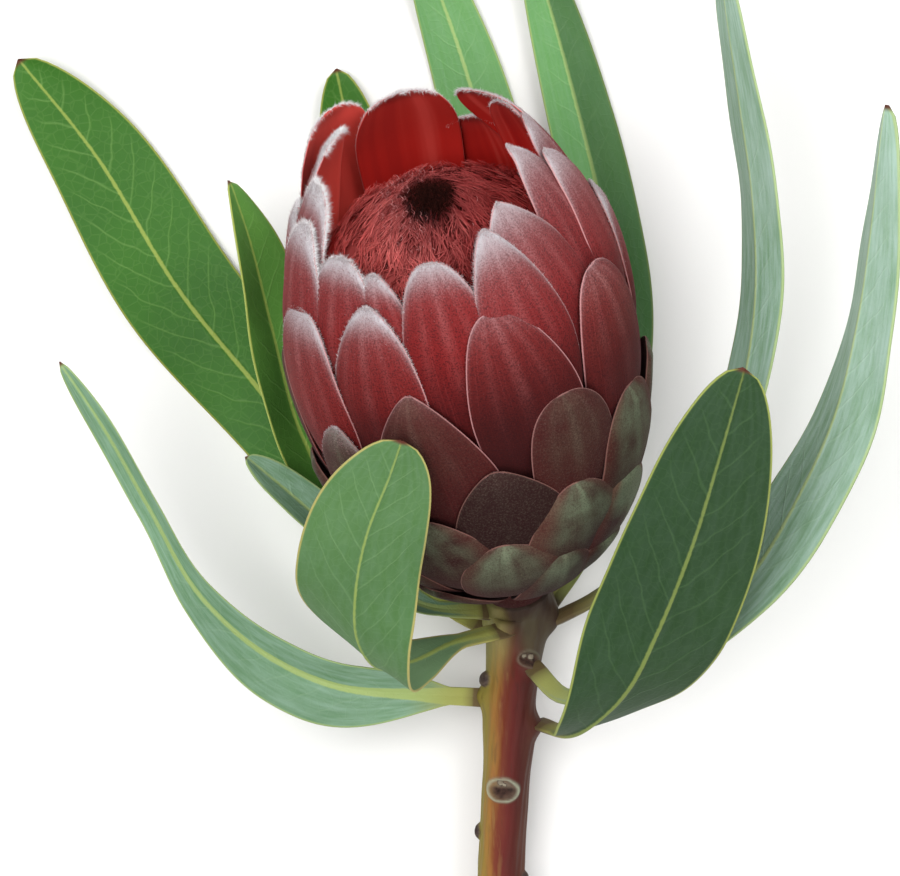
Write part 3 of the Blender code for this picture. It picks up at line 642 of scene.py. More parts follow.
def makeBractFinish():
    tones, layers = bracts["tones"], bracts["layers"]
    finish, tree, shader = newFinish(
        "bractVelvet", Roughness=0.85, Sheen_Weight=0.05, Sheen_Roughness=0.4, Specular_IOR_Level=0.12
    )
    shader.inputs["Sheen Tint"].default_value = paint(*tones["sheen"])
    across, share, level = splitMark(tree, "bractPlace")
    frost, edge, inner = splitMark(tree, "bractTone")
    # the third mark: a seed, the painted shade, and the bloom outside or a painted glow inside
    seed, paintedShade, bloomAndPaintedGlow = splitMark(tree, "bractSeedBloomAndPaintedLight")
    lowness = fade(tree, level, 0.8, 0.5)
    patches = mottled(tree, 130.0, 2.6)
    clouds = mottled(tree, 85.0, 3.4)
    # lengthwise streaks, other ones on each bract
    along = addNode(tree, "ShaderNodeCombineXYZ", {
        "X": times(tree, across, 1.6), "Y": times(tree, share, 0.12), "Z": times(tree, seed, 7.0),
    }).outputs[0]
    streaks = noiseOf(tree, 22.0, 4.0, along)
    # soft lengthwise bands, one on the keel and one on each side of it
    slant = times(tree, minus(tree, seed, 0.5), 0.3)
    aside = maths(tree, "ABSOLUTE", plus(tree, across, slant))
    keelBand = fade(tree, aside, 0.2, 0.0)
    sideBand = fade(tree, maths(tree, "ABSOLUTE", minus(tree, aside, 0.5)), 0.16, 0.0)
    bands = plus(tree, keelBand, times(tree, sideBand, 0.55))
    bands = times(tree, bands, fade(tree, share, 0.2, 0.7))
    bands = times(tree, bands, plus(tree, times(tree, patches, 0.8), 0.2))
    # the skin under the down
    body = ramp(tree, level, tones["body"])
    body = tint(tree, body, layers["patch"], patches)
    body = tint(tree, body, layers["foot"], fade(tree, share, 0.6, 0.2))
    streakPaint, streakStrength = layers["streak"]
    lines = times(tree, fade(tree, streaks, 0.52, 0.7), streakStrength)
    body = blend(tree, times(tree, lines, minus(tree, 1.0, lowness)), body, streakPaint)
    bandPaint, bandStrength = layers["band"]
    bandPaint = blend(tree, lowness, bandPaint, tones["lowBand"])
    body = tint(tree, body, (bandPaint, bandStrength), bands)
    # painted shade towards the foot of the head
    body = tint(tree, body, layers["shade"], paintedShade, clamp=True)
    # grey-green bloom on the low bracts, with a red flush at their margins and fine dust
    bloom = times(tree, times(tree, lowness, bloomAndPaintedGlow), fade(tree, share, 0.35, 0.95))
    dusty = times(tree, clouds, plus(tree, times(tree, streaks, 0.6), 0.5))
    dusty = plus(tree, dusty, times(tree, keelBand, 0.3), clamp=True)
    middle = plus(tree, times(tree, fade(tree, aside, 0.85, 0.3), 0.7), 0.45)
    bloom = times(tree, times(tree, bloom, middle), dusty, clamp=True)
    body = blend(tree, bloom, body, tones["bloom"])
    flush = times(tree, fade(tree, aside, 0.45, 0.9), times(tree, lowness, bloomAndPaintedGlow))
    body = tint(tree, body, layers["flush"], flush, clamp=True)
    grains = noiseOf(tree, 2600.0, 2.0, roughness=0.75)
    dust = times(tree, fade(tree, grains, 0.48, 0.66), lowness)
    body = tint(tree, body, layers["dust"], dust)
    # velvet: dark grains between short pale hairs, which lie closer where the down is thick
    amount = plus(tree, times(tree, frost, 0.85), times(tree, bands, 0.2))
    amount = plus(tree, amount, 0.24)
    specks = useGroup(tree, speckle, {"Amount": amount, "Scale": 3100.0, "Softness": 0.26})
    pits = fade(tree, specks["Height"], 0.5, 0.38)
    pitted = minus(tree, 0.62, times(tree, lowness, 0.2))
    body = blend(tree, times(tree, pits, pitted), body, tones["pit"])
    frostColour = ramp(tree, frost, tones["down"])
    frostColour = tint(tree, frostColour, layers["lowDown"], lowness)
    haze = times(tree, maths(tree, "POWER", frost, 1.3), 0.85)
    brushed = plus(tree, times(tree, streaks, 1.7), 0.15)
    haze = times(tree, haze, brushed, clamp=True)
    outside = blend(tree, haze, body, frostColour)
    shown = times(tree, specks["Mask"], plus(tree, times(tree, frost, 0.6), 0.22))
    outside = blend(tree, shown, outside, frostColour)
    marginPaint, marginStrength = layers["margin"]
    marginPaint = blend(tree, lowness, marginPaint, tones["lowMargin"])
    margin = times(tree, fade(tree, edge, 0.3, 0.12), fade(tree, share, 0.25, 0.5))
    outside = tint(tree, outside, (marginPaint, marginStrength), margin)
    # the smooth inside, with soft folds that are only painted: a painted highlight on their crests and
    # painted shade between them
    inside = ramp(tree, share, tones["inside"])
    paintedFolds = noiseOf(tree, 1.6, 2.0, along)
    inside = tint(tree, inside, layers["fold"], fade(tree, paintedFolds, 0.5, 0.66))
    inside = tint(tree, inside, layers["hollow"], fade(tree, paintedFolds, 0.5, 0.34))
    # a painted glow, brightest inside on the head's left
    inside = tint(tree, inside, layers["glow"], bloomAndPaintedGlow)
    inside = blend(tree, lowness, inside, tones["lowInside"])
    connect(tree, shader.inputs["Base Color"], blend(tree, inner, outside, inside))
    connect(tree, shader.inputs["Roughness"], minus(tree, 0.88, times(tree, inner, 0.4)))
    outer = minus(tree, 1.0, times(tree, inner, 0.85))
    grain = plus(tree, specks["Height"], times(tree, streaks, 0.8))
    addBump(tree, shader, times(tree, grain, outer), 0.5, 0.00025)
    return finish


def bractFrost(number, share, edge):
    # how thick the down lies, 0 to 1: along the margins, over the tip, and as a veil on the right
    around, tip = bractPlace(number)[:2]
    white = downStrength(number)
    rise = smoothStep(0.4, 0.95, share)
    frost = (0.2 + 0.7 * white) * np.exp(-edge / (0.2 + 0.75 * white * rise)) * (0.25 + 0.75 * rise)
    frost = frost + white * smoothStep(0.74, 1, share) ** 1.9 * 0.7 + (0.07 + 0.16 * white) * rise
    veiled = smoothStep(*bracts["veilFrom"], around) * (1 - smoothStep(*bracts["veilTo"], around))
    veiled = veiled * smoothStep(*bracts["veilHeights"], tip / bracts["mouthTop"])
    frost = frost + veiled * (0.14 * smoothStep(0.2, 0.75, share) + 0.16 * smoothStep(0.66, 0.95, share))
    return np.clip(frost, 0, 1)


def makeBracts(place, finish):
    random = np.random.default_rng(bracts["seed"])
    share, across = bractGrid()
    parts, sheets = [], []
    for number in bractNumbers:
        chance = {"height": random.uniform(0.3, 1), "turns": random.uniform(1, 2.4)}
        chance["phase"] = random.random()
        sheet, half = bractSheet(number, share, across, chance)
        normals = sheetNormals(sheet)
        slope = np.maximum(np.abs(across) ** 6, smoothStep(0.9, 1, share))
        thin = (bracts["thickness"] - (bracts["thickness"] - bracts["edgeThickness"]) * slope) / 2
        upper, lower = sheet + normals * thin[..., None], sheet - normals * thin[..., None]
        around, tip = bractPlace(number)[:2]
        edge = np.minimum((1 - np.abs(across)) * half, (1 - share) * bractLength(number))
        frost = bractFrost(number, share, edge)
        # painted shade: the head is darker towards its foot; painted glow: its bracts are brightest inside
        # on its left
        paintedShade = smoothStep(bracts["shadeFrom"], bracts["shadeTo"], sheet[..., 2])
        paintedShade = paintedShade * bracts["shaded"].get(number, 1)
        glow = math.exp(-(((around - bracts["glowAt"]) / bracts["paintedGlowSpread"]) ** 2)) * (around < 0)
        seed, bloomed = random.random(), bracts["bloomed"].get(number, 1)
        bractAt = gridOf(share, across, share, tip / bracts["mouthTop"])
        parts.append(slabPart(upper, lower, {
            "bractPlace": (bractAt, bractAt),
            "bractTone": (gridOf(share, frost, edge, 0), gridOf(share, 0, edge, 1)),
            "bractSeedBloomAndPaintedLight": (gridOf(share, seed, paintedShade, bloomed), gridOf(share, seed, paintedShade, glow)),
        }))
        sheets.append((number, upper, normals, frost))
    # the solid middle, with a hollow for the florets
    foot, wall, floor = head["outline"][0][1], bracts["hollowRadius"], bracts["hollowFloor"]
    profile = [(0.5, 0), (foot - 0.5, 0.2), (foot, 2.5)]
    profile += [(float(headRadius(h)) - bracts["coreDepth"], h) for h in bracts["coreHeights"]]
    profile += [(wall, bracts["hollowRim"]), (wall, floor), (0.5, floor)]
    points, faces, _ = turnedPart(profile, 64)
    none = 0.0 * points[:, 0]
    parts.append((points, faces, {
        "bractPlace": gridOf(none, 0, 0.2, 0),
        "bractTone": gridOf(none, 0, 5, 0),
        "bractSeedBloomAndPaintedLight": gridOf(none, 0, 0, 0),
    }))
    makePiece("bractCup", joinParts(parts), [finish], "bracts", place)
    return sheets


# Down on the bracts: a fringe along the margins, and short hairs over the frosted tips


down = {
    "fringeSeed": 23,
    "fringePerMm": 31.0,
    "fringeLength": 1.3,
    "fringeWidth": 0.045,
    "fringeFrom": 0.3,  # the share of a bract's length where its margins begin to have a fringe
    "fringeFull": 0.75,
    "behindFrom": 100,  # bracts further round than this have a fringe on their tips only
    "behindTip": 0.93,
    "velvetSeed": 31,
    "velvetCount": 30000,
    "velvetLength": 0.75,
    "velvetWidth": 0.04,
    "velvetFrom": 0.4,
    # the whitest tone is painted light: brightened for the fringes in shade at the back of the rim
    "tones": [
        (0.0, (140, 78, 78)), (0.5, (170, 140, 142)), (0.8, (198, 190, 192)), (1.0, (248, 247, 248)),
    ],
    "grain": ((190, 160, 160), 0.1),
}


def makeDownFinish():
    finish, tree, shader = newFinish("whiteDown", Roughness=0.9, Specular_IOR_Level=0.2)
    colour = ramp(tree, readMark(tree, "downTone").outputs["Fac"], down["tones"])
    grain = mottled(tree, 900.0, 1.5)
    connect(tree, shader.inputs["Base Color"], tint(tree, colour, down["grain"], grain))
    return finish


def makeHairs(name, hairs, place, finish):
    # one piece from each bract's roots, tips, widths and tones
    roots, tips, widths, tones = [np.concatenate(values) for values in zip(*hairs)]
    part = spikePart(roots, tips, None, widths, {"downTone": tones})
    makePiece(name, part, [finish], None, place)
    print(name, len(roots), "hairs")


def makeFringe(sheets, place, finish):
    random = np.random.default_rng(down["fringeSeed"])
    hairs = []

    def margin(grid, inset=0):
        # one row of points up a bract's left margin, over its tip and down the right margin
        return np.concatenate([grid[:, inset], grid[-1 - inset, 1:-1], grid[::-1, -1 - inset]])

    shares = margin(bractGrid()[0])
    for number, upper, normals, _ in sheets:
        strength = downStrength(number)
        shaggy = bracts["shaggy"].get(number, 1)
        line = margin(upper)
        runs = runsAlong(line)
        count = int(runs[-1] * down["fringePerMm"] * (0.35 + 0.65 * strength) * shaggy)
        at = random.uniform(0, runs[-1], count)
        share = np.interp(at, runs, shares)
        start = down["fringeFrom"]
        closeness = smoothStep(start, down["fringeFull"], share) * 0.85 + 0.15 * (share > start)
        kept = random.random(count) < closeness
        behind = abs(bractPlace(number)[0]) > down["behindFrom"]
        kept = kept & (share > down["behindTip"] * behind)
        at, share = at[kept], share[kept]
        count = len(at)

        def pick(values):
            return np.stack([np.interp(at, runs, values[:, k]) for k in range(3)], -1)

        root, within, up = pick(line), pick(margin(upper, 2)), unit(pick(margin(normals)))
        out = unit(root - within)
        tipward = unit(pick(np.gradient(line, axis=0))) * np.where(at < runs[-1] / 2, 1, -1)[:, None]
        tilt = out * random.uniform(0.5, 1.2, (count, 1)) + up * random.uniform(-0.5, 0.5, (count, 1))
        tilt = tilt + tipward * random.uniform(0, 0.8, (count, 1)) + random.normal(0, 0.25, (count, 3))
        tilt = unit(tilt)
        size = down["fringeLength"] * (0.16 + 0.84 * strength) * random.uniform(0.35, 1, count)
        size = size * (0.3 + 0.7 * smoothStep(0.5, 0.92, share)) * shaggy**0.8
        root = root - out * random.uniform(0.05, 0.5, (count, 1)) - up * random.uniform(0, 0.2, (count, 1))
        width = down["fringeWidth"] * random.uniform(0.7, 1.2, count) * (0.6 + 0.4 * strength)
        tone = np.clip(0.22 + 0.95 * strength - random.uniform(0, 0.25, count), 0, 1)
        hairs.append((root, root + tilt * size[:, None], width, tone))
    makeHairs("bractFringe", hairs, place, finish)


def makeVelvet(sheets, place, finish):
    random = np.random.default_rng(down["velvetSeed"])
    weights = np.array([downStrength(number) ** 1.5 for number, *_ in sheets])
    counts = (down["velvetCount"] * weights / weights.sum()).astype(int)
    hairs = []
    for (number, upper, normals, frost), count in zip(sheets, counts):
        # three tries for each hair, of which the ones on thick down stay
        row = random.uniform(bracts["rows"] * down["velvetFrom"], bracts["rows"] - 0.01, count * 3)
        column = random.uniform(0, bracts["columns"] - 0.01, count * 3)
        i, k = row.astype(int), column.astype(int)
        kept = np.flatnonzero(random.random(count * 3) < frost[i, k] ** 1.4 + 0.02)[:count]
        i, k, row, column = i[kept], k[kept], row[kept], column[kept]
        u, v = (row - i)[:, None], (column - k)[:, None]
        root = (upper[i, k] * (1 - u) + upper[i + 1, k] * u) * (1 - v)
        root = root + (upper[i, k + 1] * (1 - u) + upper[i + 1, k + 1] * u) * v
        up = normals[i, k]
        ahead = unit(upper[i + 1, k] - upper[i, k])
        n = len(kept)
        lean = ahead * random.uniform(0.4, 1.3, (n, 1)) + up * random.uniform(0.25, 0.8, (n, 1))
        lean = unit(lean + random.normal(0, 0.35, (n, 3)))
        strength = downStrength(number)
        size = down["velvetLength"] * random.uniform(0.5, 1.1, n) * (0.5 + 0.5 * strength)
        width = down["velvetWidth"] * random.uniform(0.7, 1.2, n)
        # velvet hairs, which get more light, stay below the whitest, painted-light tone
        whitest = 0.82 + 0.14 * smoothStep(0.85, 1, strength)
        tone = np.clip(frost[i, k] + random.uniform(-0.4, 0.2, n), 0, whitest)
        hairs.append((root - up * 0.05, root + lean * size[:, None], width, tone))
    makeHairs("bractVelvetHairs", hairs, place, finish)


# Florets and the dark tuft


florets = {
    "seed": 5,
    "outline": [
        (27.2, 60), (26.8, 66), (26, 72), (24.2, 78.6), (20.3, 83.2), (16.6, 86), (11, 88.6),
        (5.6, 90.2), (0.4, 90.6),
    ],
    "radius": 27,
    "foot": 41,
    # the strands stand in tapering tufts that lean towards the middle
    "tufts": 720,
    "strandsPerTuft": 9,
    "strandWidth": 0.17,
    "strandSteps": 5,
    "firstAt": 0.08,  # where the tufts begin, as a share of the way from the rim to the middle
    "span": 0.76,
    "reach": (0.07, 0.15),
    "lastTip": (0.84, 0.93),
    "lift": 2.3,
    "darkAt": (-0.8, -1.6),  # the middle of the dark part, across the head
    "darkStretch": 1.6,  # how much longer it is towards the head's upper side
    # colours from the dark part outwards, and layers over them: a painted highlight on some strands,
    # painted shade between clumps, painted light on the left and painted shade on the right
    "tones": [
        (0.0, (18, 8, 7)), (0.15, (30, 10, 10)), (0.2, (146, 66, 65)), (0.36, (190, 88, 86)),
        (0.75, (208, 72, 68)), (1.0, (216, 44, 36)),
    ],
    "layers": {
        "light": ((214, 118, 112), 0.65), "deep": ((92, 12, 14), 0.75), "root": ((104, 12, 16), 0.35),
        "leftSide": ((228, 132, 126), 0.2), "rightSide": ((120, 20, 20), 0.65),
    },
}


def floretDome():
    return smoothLine([(r, 0.0, h) for r, h in florets["outline"]])


def fromDark(x, y):
    # how far a point is from the middle of the dark part, as a share of the florets' radius
    aside, ahead = x - florets["darkAt"][0], y - florets["darkAt"][1]
    return np.clip(np.hypot(aside, ahead / florets["darkStretch"]) / florets["radius"], 0, 1)


def leftward(x):
    # 1 at the florets' left, 0 at their right, for painted light on the left and painted shade on the right
    return 0.5 - x / (2 * florets["radius"])


def makeFloretFinish():
    layers = florets["layers"]
    finish, tree, shader = newFinish("floretSilk", Roughness=0.7, Specular_IOR_Level=0.15)
    near, chance, tipShare = splitMark(tree, "strandTone")
    side = readMark(tree, "strandPaintedLightSide").outputs["Fac"]
    beyond = fade(tree, near, 0.12, 0.36)
    base = ramp(tree, near, florets["tones"])
    # a painted highlight on some strands, and painted shade in the gaps between clumps
    base = tint(tree, base, layers["light"], times(tree, fade(tree, chance, 0.5, 0.95), beyond))
    base = tint(tree, base, layers["deep"], fade(tree, chance, 0.5, 0.1))
    base = tint(tree, base, layers["root"], fade(tree, tipShare, 0.45, 0.0))
    # painted light on the left of the dome, painted shade on its right
    base = tint(tree, base, layers["leftSide"], times(tree, fade(tree, side, 0.5, 0.85), beyond))
    base = tint(tree, base, layers["rightSide"], fade(tree, side, 0.58, 0.3))
    connect(tree, shader.inputs["Base Color"], base)
    grain = useGroup(tree, speckle, {"Amount": 0.4, "Scale": 2600.0})
    addBump(tree, shader, grain["Height"], 0.25, 0.0001)
    return finish


def makeFlorets(place, finish):
    random = np.random.default_rng(florets["seed"])
    dome = floretDome()
    profile = dome(np.linspace(0, 1, 40))
    radius, height = profile[:, 0] - 0.5, profile[:, 2] - 0.4
    points, faces, _ = turnedPart([(0.3, florets["foot"]), *zip(np.maximum(radius, 0.2), height)], 96)
    x, y = points[:, 0], points[:, 1]
    marks = {"strandTone": gridOf(x, fromDark(x, y), 0.25, 0.5), "strandPaintedLightSide": leftward(x)}
    core = (points, faces, marks)
    tufts, each, steps = florets["tufts"], florets["strandsPerTuft"], florets["strandSteps"]
    count = tufts * each
    along = np.linspace(0, 1, steps)

    def ofTuft(values):
        return np.repeat(values, each)

    # where each tuft stands on the dome and how it leans, the same for all its strands
    start = ofTuft(florets["firstAt"] + florets["span"] * random.random(tufts) ** 0.8)
    reach = ofTuft(random.uniform(*florets["reach"], tufts))
    angle = ofTuft(math.radians(goldenAngle) * np.arange(tufts))
    swing = ofTuft(random.normal(0, 0.07, tufts)) / (1.1 - start)
    rise = florets["lift"] * ofTuft(random.uniform(0.05, 1, tufts) ** 1.3)
    tuftChance = ofTuft(random.random(tufts))
    # each strand from its foot to its tip
    foot = start + random.normal(0, 0.025, count)
    tip = start + reach + random.normal(0, 0.012, count)
    tip = np.minimum(tip, random.uniform(*florets["lastTip"], count))
    share = np.clip(foot[:, None] + (tip - foot)[:, None] * along, 0, florets["lastTip"][1])
    spread = random.normal(0, 0.05, count)[:, None] * (1 - 0.75 * along) / (1.15 - start)[:, None]
    turn = angle[:, None] + spread + swing[:, None] * along**1.5
    turn = turn + 0.018 * np.sin(8 * along[None] + random.uniform(0, 6, count)[:, None])
    at = dome(share)
    lift = rise[:, None] * along[None] ** 0.9 + random.uniform(-0.3, 0.35, count)[:, None]
    slope = unit(dome(np.clip(share + 0.01, 0, 1)) - dome(share - 0.01))
    outR = at[..., 0] + slope[..., 2] * lift
    outH = at[..., 2] - slope[..., 0] * lift
    lines = np.stack([outR * np.sin(turn), -outR * np.cos(turn), outH], -1)
    x, y = lines[..., 0], lines[..., 1]
    chance = (0.45 * random.random(count) + 0.55 * tuftChance)[:, None]
    marks = {"strandTone": gridOf(x, fromDark(x, y), chance, along), "strandPaintedLightSide": leftward(x)}
    strands = strandPart(lines, florets["strandWidth"] * random.uniform(0.6, 1.2, count), marks)
    makePiece("floretDome", joinParts([core, strands]), [finish], "florets", place)


tuft = {
    "seed": 17,
    "radius": 5.4,
    "hairs": 4200,
    "length": 3.4,
    "width": 0.1,
    "reach": 1.15,  # how far out the hairs stand, in radii
    # pale curled hairs round it, between these distances in radii
    "curls": 560,
    "curlsFrom": 0.7,
    "curlsTo": 1.9,
    "curlRadius": 0.22,
    "curlWidth": 0.06,
    "curlSteps": 14,
    # the mound under the hairs: how far its rim lies under the dome's top, and its height
    "moundDepth": 0.9,
    "moundHeight": 1.1,
    "tones": [
        (0.0, (34, 16, 13)), (0.4, (52, 22, 18)), (0.7, (96, 36, 34)), (0.85, (140, 54, 54)),
        (1.0, (222, 152, 150)),
    ],
}


def makeTuftFinish():
    finish, tree, shader = newFinish("tuftHair", Roughness=0.9, Specular_IOR_Level=0.02)
    colour = ramp(tree, readMark(tree, "tuftTone").outputs["Fac"], tuft["tones"])
    connect(tree, shader.inputs["Base Color"], colour)
    grain = useGroup(tree, speckle, {"Amount": 0.4, "Scale": 4000.0})
    addBump(tree, shader, grain["Height"], 0.2, 0.0001)
    return finish


def makeTuft(place, finish):
    random = np.random.default_rng(tuft["seed"])
    domeAt = np.array(florets["outline"])[::-1]
    radius, upright = tuft["radius"], np.array([0, 0, 1.0])

    def spread(count, reach):
        # places over the dark part: how far out each is, where its root stands, and which way is out
        angle = math.radians(goldenAngle) * np.arange(count) + random.normal(0, 0.2, count)
        share = reach * np.sqrt((np.arange(count) + 0.5) / count)
        x = florets["darkAt"][0] + radius * share * np.sin(angle)
        y = florets["darkAt"][1] - radius * florets["darkStretch"] * share * np.cos(angle)
        z = np.interp(np.hypot(x, y), domeAt[:, 0], domeAt[:, 1])
        return share, np.stack([x, y, z], -1), np.stack([np.sin(angle), -np.cos(angle), 0 * angle], -1)

    count = tuft["hairs"]
    share, roots, outward = spread(count, tuft["reach"])
    length = tuft["length"] * random.uniform(0.4, 1, count) * (1.1 - 0.6 * share)
    lean = outward * (-0.1 - 0.2 * share)[:, None] + 0.8 * upright
    lean = unit(lean + random.normal(0, 0.6, (count, 3)))
    lean[:, 2] = np.abs(lean[:, 2]) * 0.8 + 0.1
    tips = roots + lean * length[:, None]
    bends = random.normal(0, 0.3, (count, 3))
    widths = tuft["width"] * random.uniform(0.6, 1.1, count)
    tone = 0.5 * share**2 + random.uniform(-0.2, 0.25, count) + 0.3 * (random.random(count) > 0.9)
    hairs = spikePart(roots - 0.3 * upright, tips, bends, widths, {"tuftTone": np.clip(tone, 0, 0.75)})
    share, roots, outward = spread(tuft["curls"], tuft["curlsTo"])
    chance = 0.05 + 0.8 * (outward[:, 0] < 0)  # most of them at the left
    kept = (share > tuft["curlsFrom"]) & (random.random(tuft["curls"]) < chance)
    roots, count = roots[kept], int(kept.sum())
    along = np.linspace(0, 1, tuft["curlSteps"])[None]
    turn = along * random.uniform(4, 9, count)[:, None] + random.uniform(0, 6, count)[:, None]
    rise = 1.2 + (0.2 + 0.8 * along) * random.uniform(0.8, 2.0, count)[:, None]
    size = tuft["curlRadius"] * random.uniform(0.5, 1.2, count)[:, None]
    curls = roots[:, None] + np.stack([size * np.cos(turn), size * np.sin(turn), rise], -1)
    curlTone = random.uniform(0.8, 1, count)[:, None] + 0 * turn
    curled = strandPart(curls, np.full(count, tuft["curlWidth"]), {"tuftTone": curlTone})
    seat = domeAt[0, 1]
    depth, height = tuft["moundDepth"], tuft["moundHeight"]
    mound = [(radius * s, seat - depth + height * (1 - s**2)) for s in np.linspace(1, 0.05, 9)]
    points, faces, _ = turnedPart([(radius - 0.5, seat - 1.2), *mound], 40)
    core = (points, faces, {"tuftTone": np.full(len(points), 0.1)})
    makePiece("darkTuft", joinParts([core, hairs, curled]), [finish], "dark_tuft", place)


# Stem


stem = {
    "seed": 3,
    "line": [
        (-2, -158, 4.48), (0, -120, 7.9), (1.6, -88, 10.6), (2.6, -66, 12.3), (3.4, -54, 13.2),
        (4.4, -43, 14.2),
    ],
    "radii": [(0, 4.6), (0.55, 4.6), (0.8, 4.8), (0.93, 5.4), (1, 6.2)],
    "rings": 380,
    "sides": 128,
    "topGap": 0.3,
    "seatHeight": 1.6,
    "seatRadius": 3.0,
    "ribHeight": 0.035,
    "neck": (-48, -38),  # where the skin turns grey under the head
    "cutBevel": 0.25,
    # the cut end's rings, as shares of its radius, and how far in each is painted
    "cutRings": [(0.3, 0.3), (0.6, 0.6), (0.9, 0.9), (0.97, 1.0)],
    # y, bearing, radius, how far it stands out, how pale its rim is
    "scars": [(-72.6, 98, 3.3, 0.6, 1), (-45.5, 62, 2.2, 0.45, 0.3), (-118, 140, 2.6, 0.5, 1)],
    "buds": [
        (-82.5, 185, 1.3, 1.1), (-92, 20, 1.8, 1.1), (-60.5, 340, 1.7, 0.9), (-51.2, 162, 1.3, 1.5),
        (-104, 250, 1.7, 0.6),
    ],
    # y, bearing, radius of pale beads in the scars
    "beads": [
        (-71.2, 103, 0.6), (-71.6, 92, 0.4), (-45.0, 72, 0.5), (-45.2, 57, 0.6), (-117.4, 142, 0.6),
    ],
    "beadHeight": 0.45,
    # colours from the left side to the right one, and of the neck
    "skin": [
        (0.08, (124, 112, 48)), (0.26, (138, 94, 43)), (0.4, (102, 43, 22)), (0.56, (88, 24, 18)),
        (0.75, (70, 24, 18)), (0.95, (80, 48, 36)),
    ],
    "neckTones": [(0.2, (40, 24, 20)), (0.5, (62, 46, 36)), (0.8, (84, 76, 56))],
    "layers": {
        "fleck": ((160, 130, 72), 0.3), "streak": ((56, 26, 18), 0.4),
        "upperLeft": ((146, 142, 86), 0.8),
    },
    "scarRim": (150, 156, 134),
    # dark and pale crumbs
    "pitTones": ((26, 16, 15), (72, 50, 42)),
    "budTones": ((46, 32, 30), (92, 78, 68)),
    "beadTones": ((118, 108, 92), (152, 144, 126)),
    "woodTones": ((206, 196, 146), (170, 160, 104)),
    "woodEdge": (112, 74, 44),
}
placeOfHead = headPlace()
headAxis = placeOfHead[:3, 2]
stemTop = placeOfHead[:3, 3] - headAxis * stem["topGap"]
stemAt = smoothLine([*stem["line"], tuple(stemTop - headAxis * 4), tuple(stemTop)])
stemRadius = smoothCurve(stem["radii"])


def stemPoint(y, bearing, standOff):
    shares = np.linspace(0, 1, 201)
    share = float(np.interp(y, stemAt(shares)[:, 1], shares))
    angle = math.radians(bearing)
    out = np.array([math.cos(angle), 0, math.sin(angle)])
    return stemAt(share) + out * (stemRadius(share) + standOff)


def makeStemFinish():
    layers = stem["layers"]
    finish, tree, shader = newFinish("stemBark", Roughness=0.6, Specular_IOR_Level=0.22)
    side, length, neck = splitMark(tree, "stemPlace")
    scarRim, scarPit, raised = splitMark(tree, "stemMark")
    bead = fade(tree, raised, 1.2, 1.9)
    bud = times(tree, fade(tree, raised, 0.0, 0.8), minus(tree, 1.0, bead))
    streaks = mottled(tree, 700.0, 1.8, (1, 0.12, 1))
    patches = mottled(tree, 70.0, 2.4, (1, 0.4, 1))
    crumbs = mottled(tree, 900.0, 3.0)
    lean = plus(tree, side, times(tree, minus(tree, patches, 0.5), 0.16))
    lean = plus(tree, lean, times(tree, minus(tree, streaks, 0.5), 0.14))
    skin = ramp(tree, lean, stem["skin"])
    flecks = times(tree, fade(tree, streaks, 0.6, 0.9), fade(tree, side, 0.6, 0.35))
    skin = tint(tree, skin, layers["fleck"], flecks)
    skin = tint(tree, skin, layers["streak"], fade(tree, streaks, 0.4, 0.1))
    upperLeft = times(tree, fade(tree, length, 0.84, 0.95), fade(tree, side, 0.5, 0.25))
    skin = tint(tree, skin, layers["upperLeft"], upperLeft)
    bare = minus(tree, 1.0, times(tree, fade(tree, side, 0.42, 0.2), 0.6))
    neckTone = ramp(tree, patches, stem["neckTones"])
    skin = blend(tree, times(tree, neck, bare), skin, neckTone)
    rim = times(tree, scarRim, plus(tree, times(tree, crumbs, 0.25), 0.7))
    skin = blend(tree, rim, skin, stem["scarRim"])
    for share, crumbled in ((scarPit, "pitTones"), (bud, "budTones"), (bead, "beadTones")):
        skin = blend(tree, share, skin, blend(tree, crumbs, *stem[crumbled]))
    connect(tree, shader.inputs["Base Color"], skin)
    rough = plus(tree, maths(tree, "MAXIMUM", scarPit, bead), 0.6, clamp=True)
    connect(tree, shader.inputs["Roughness"], rough)
    lenticels = useGroup(tree, speckle, {"Amount": 0.22, "Scale": 700.0, "Softness": 0.1})
    addBump(tree, shader, plus(tree, streaks, times(tree, lenticels["Mask"], 0.5)), 0.4, 0.0003)
    return finish


def makeCutFinish():
    finish, tree, shader = newFinish("cutWood", Roughness=0.7, Specular_IOR_Level=0.3)
    edge = splitMark(tree, "stemMark")[0]
    rays = mottled(tree, 900.0, 2.5)
    wood = blend(tree, rays, *stem["woodTones"])
    wood = blend(tree, fade(tree, edge, 0.75, 1.0), wood, stem["woodEdge"])
    connect(tree, shader.inputs["Base Color"], wood)
    addBump(tree, shader, rays, 0.4, 0.0002)
    return finish


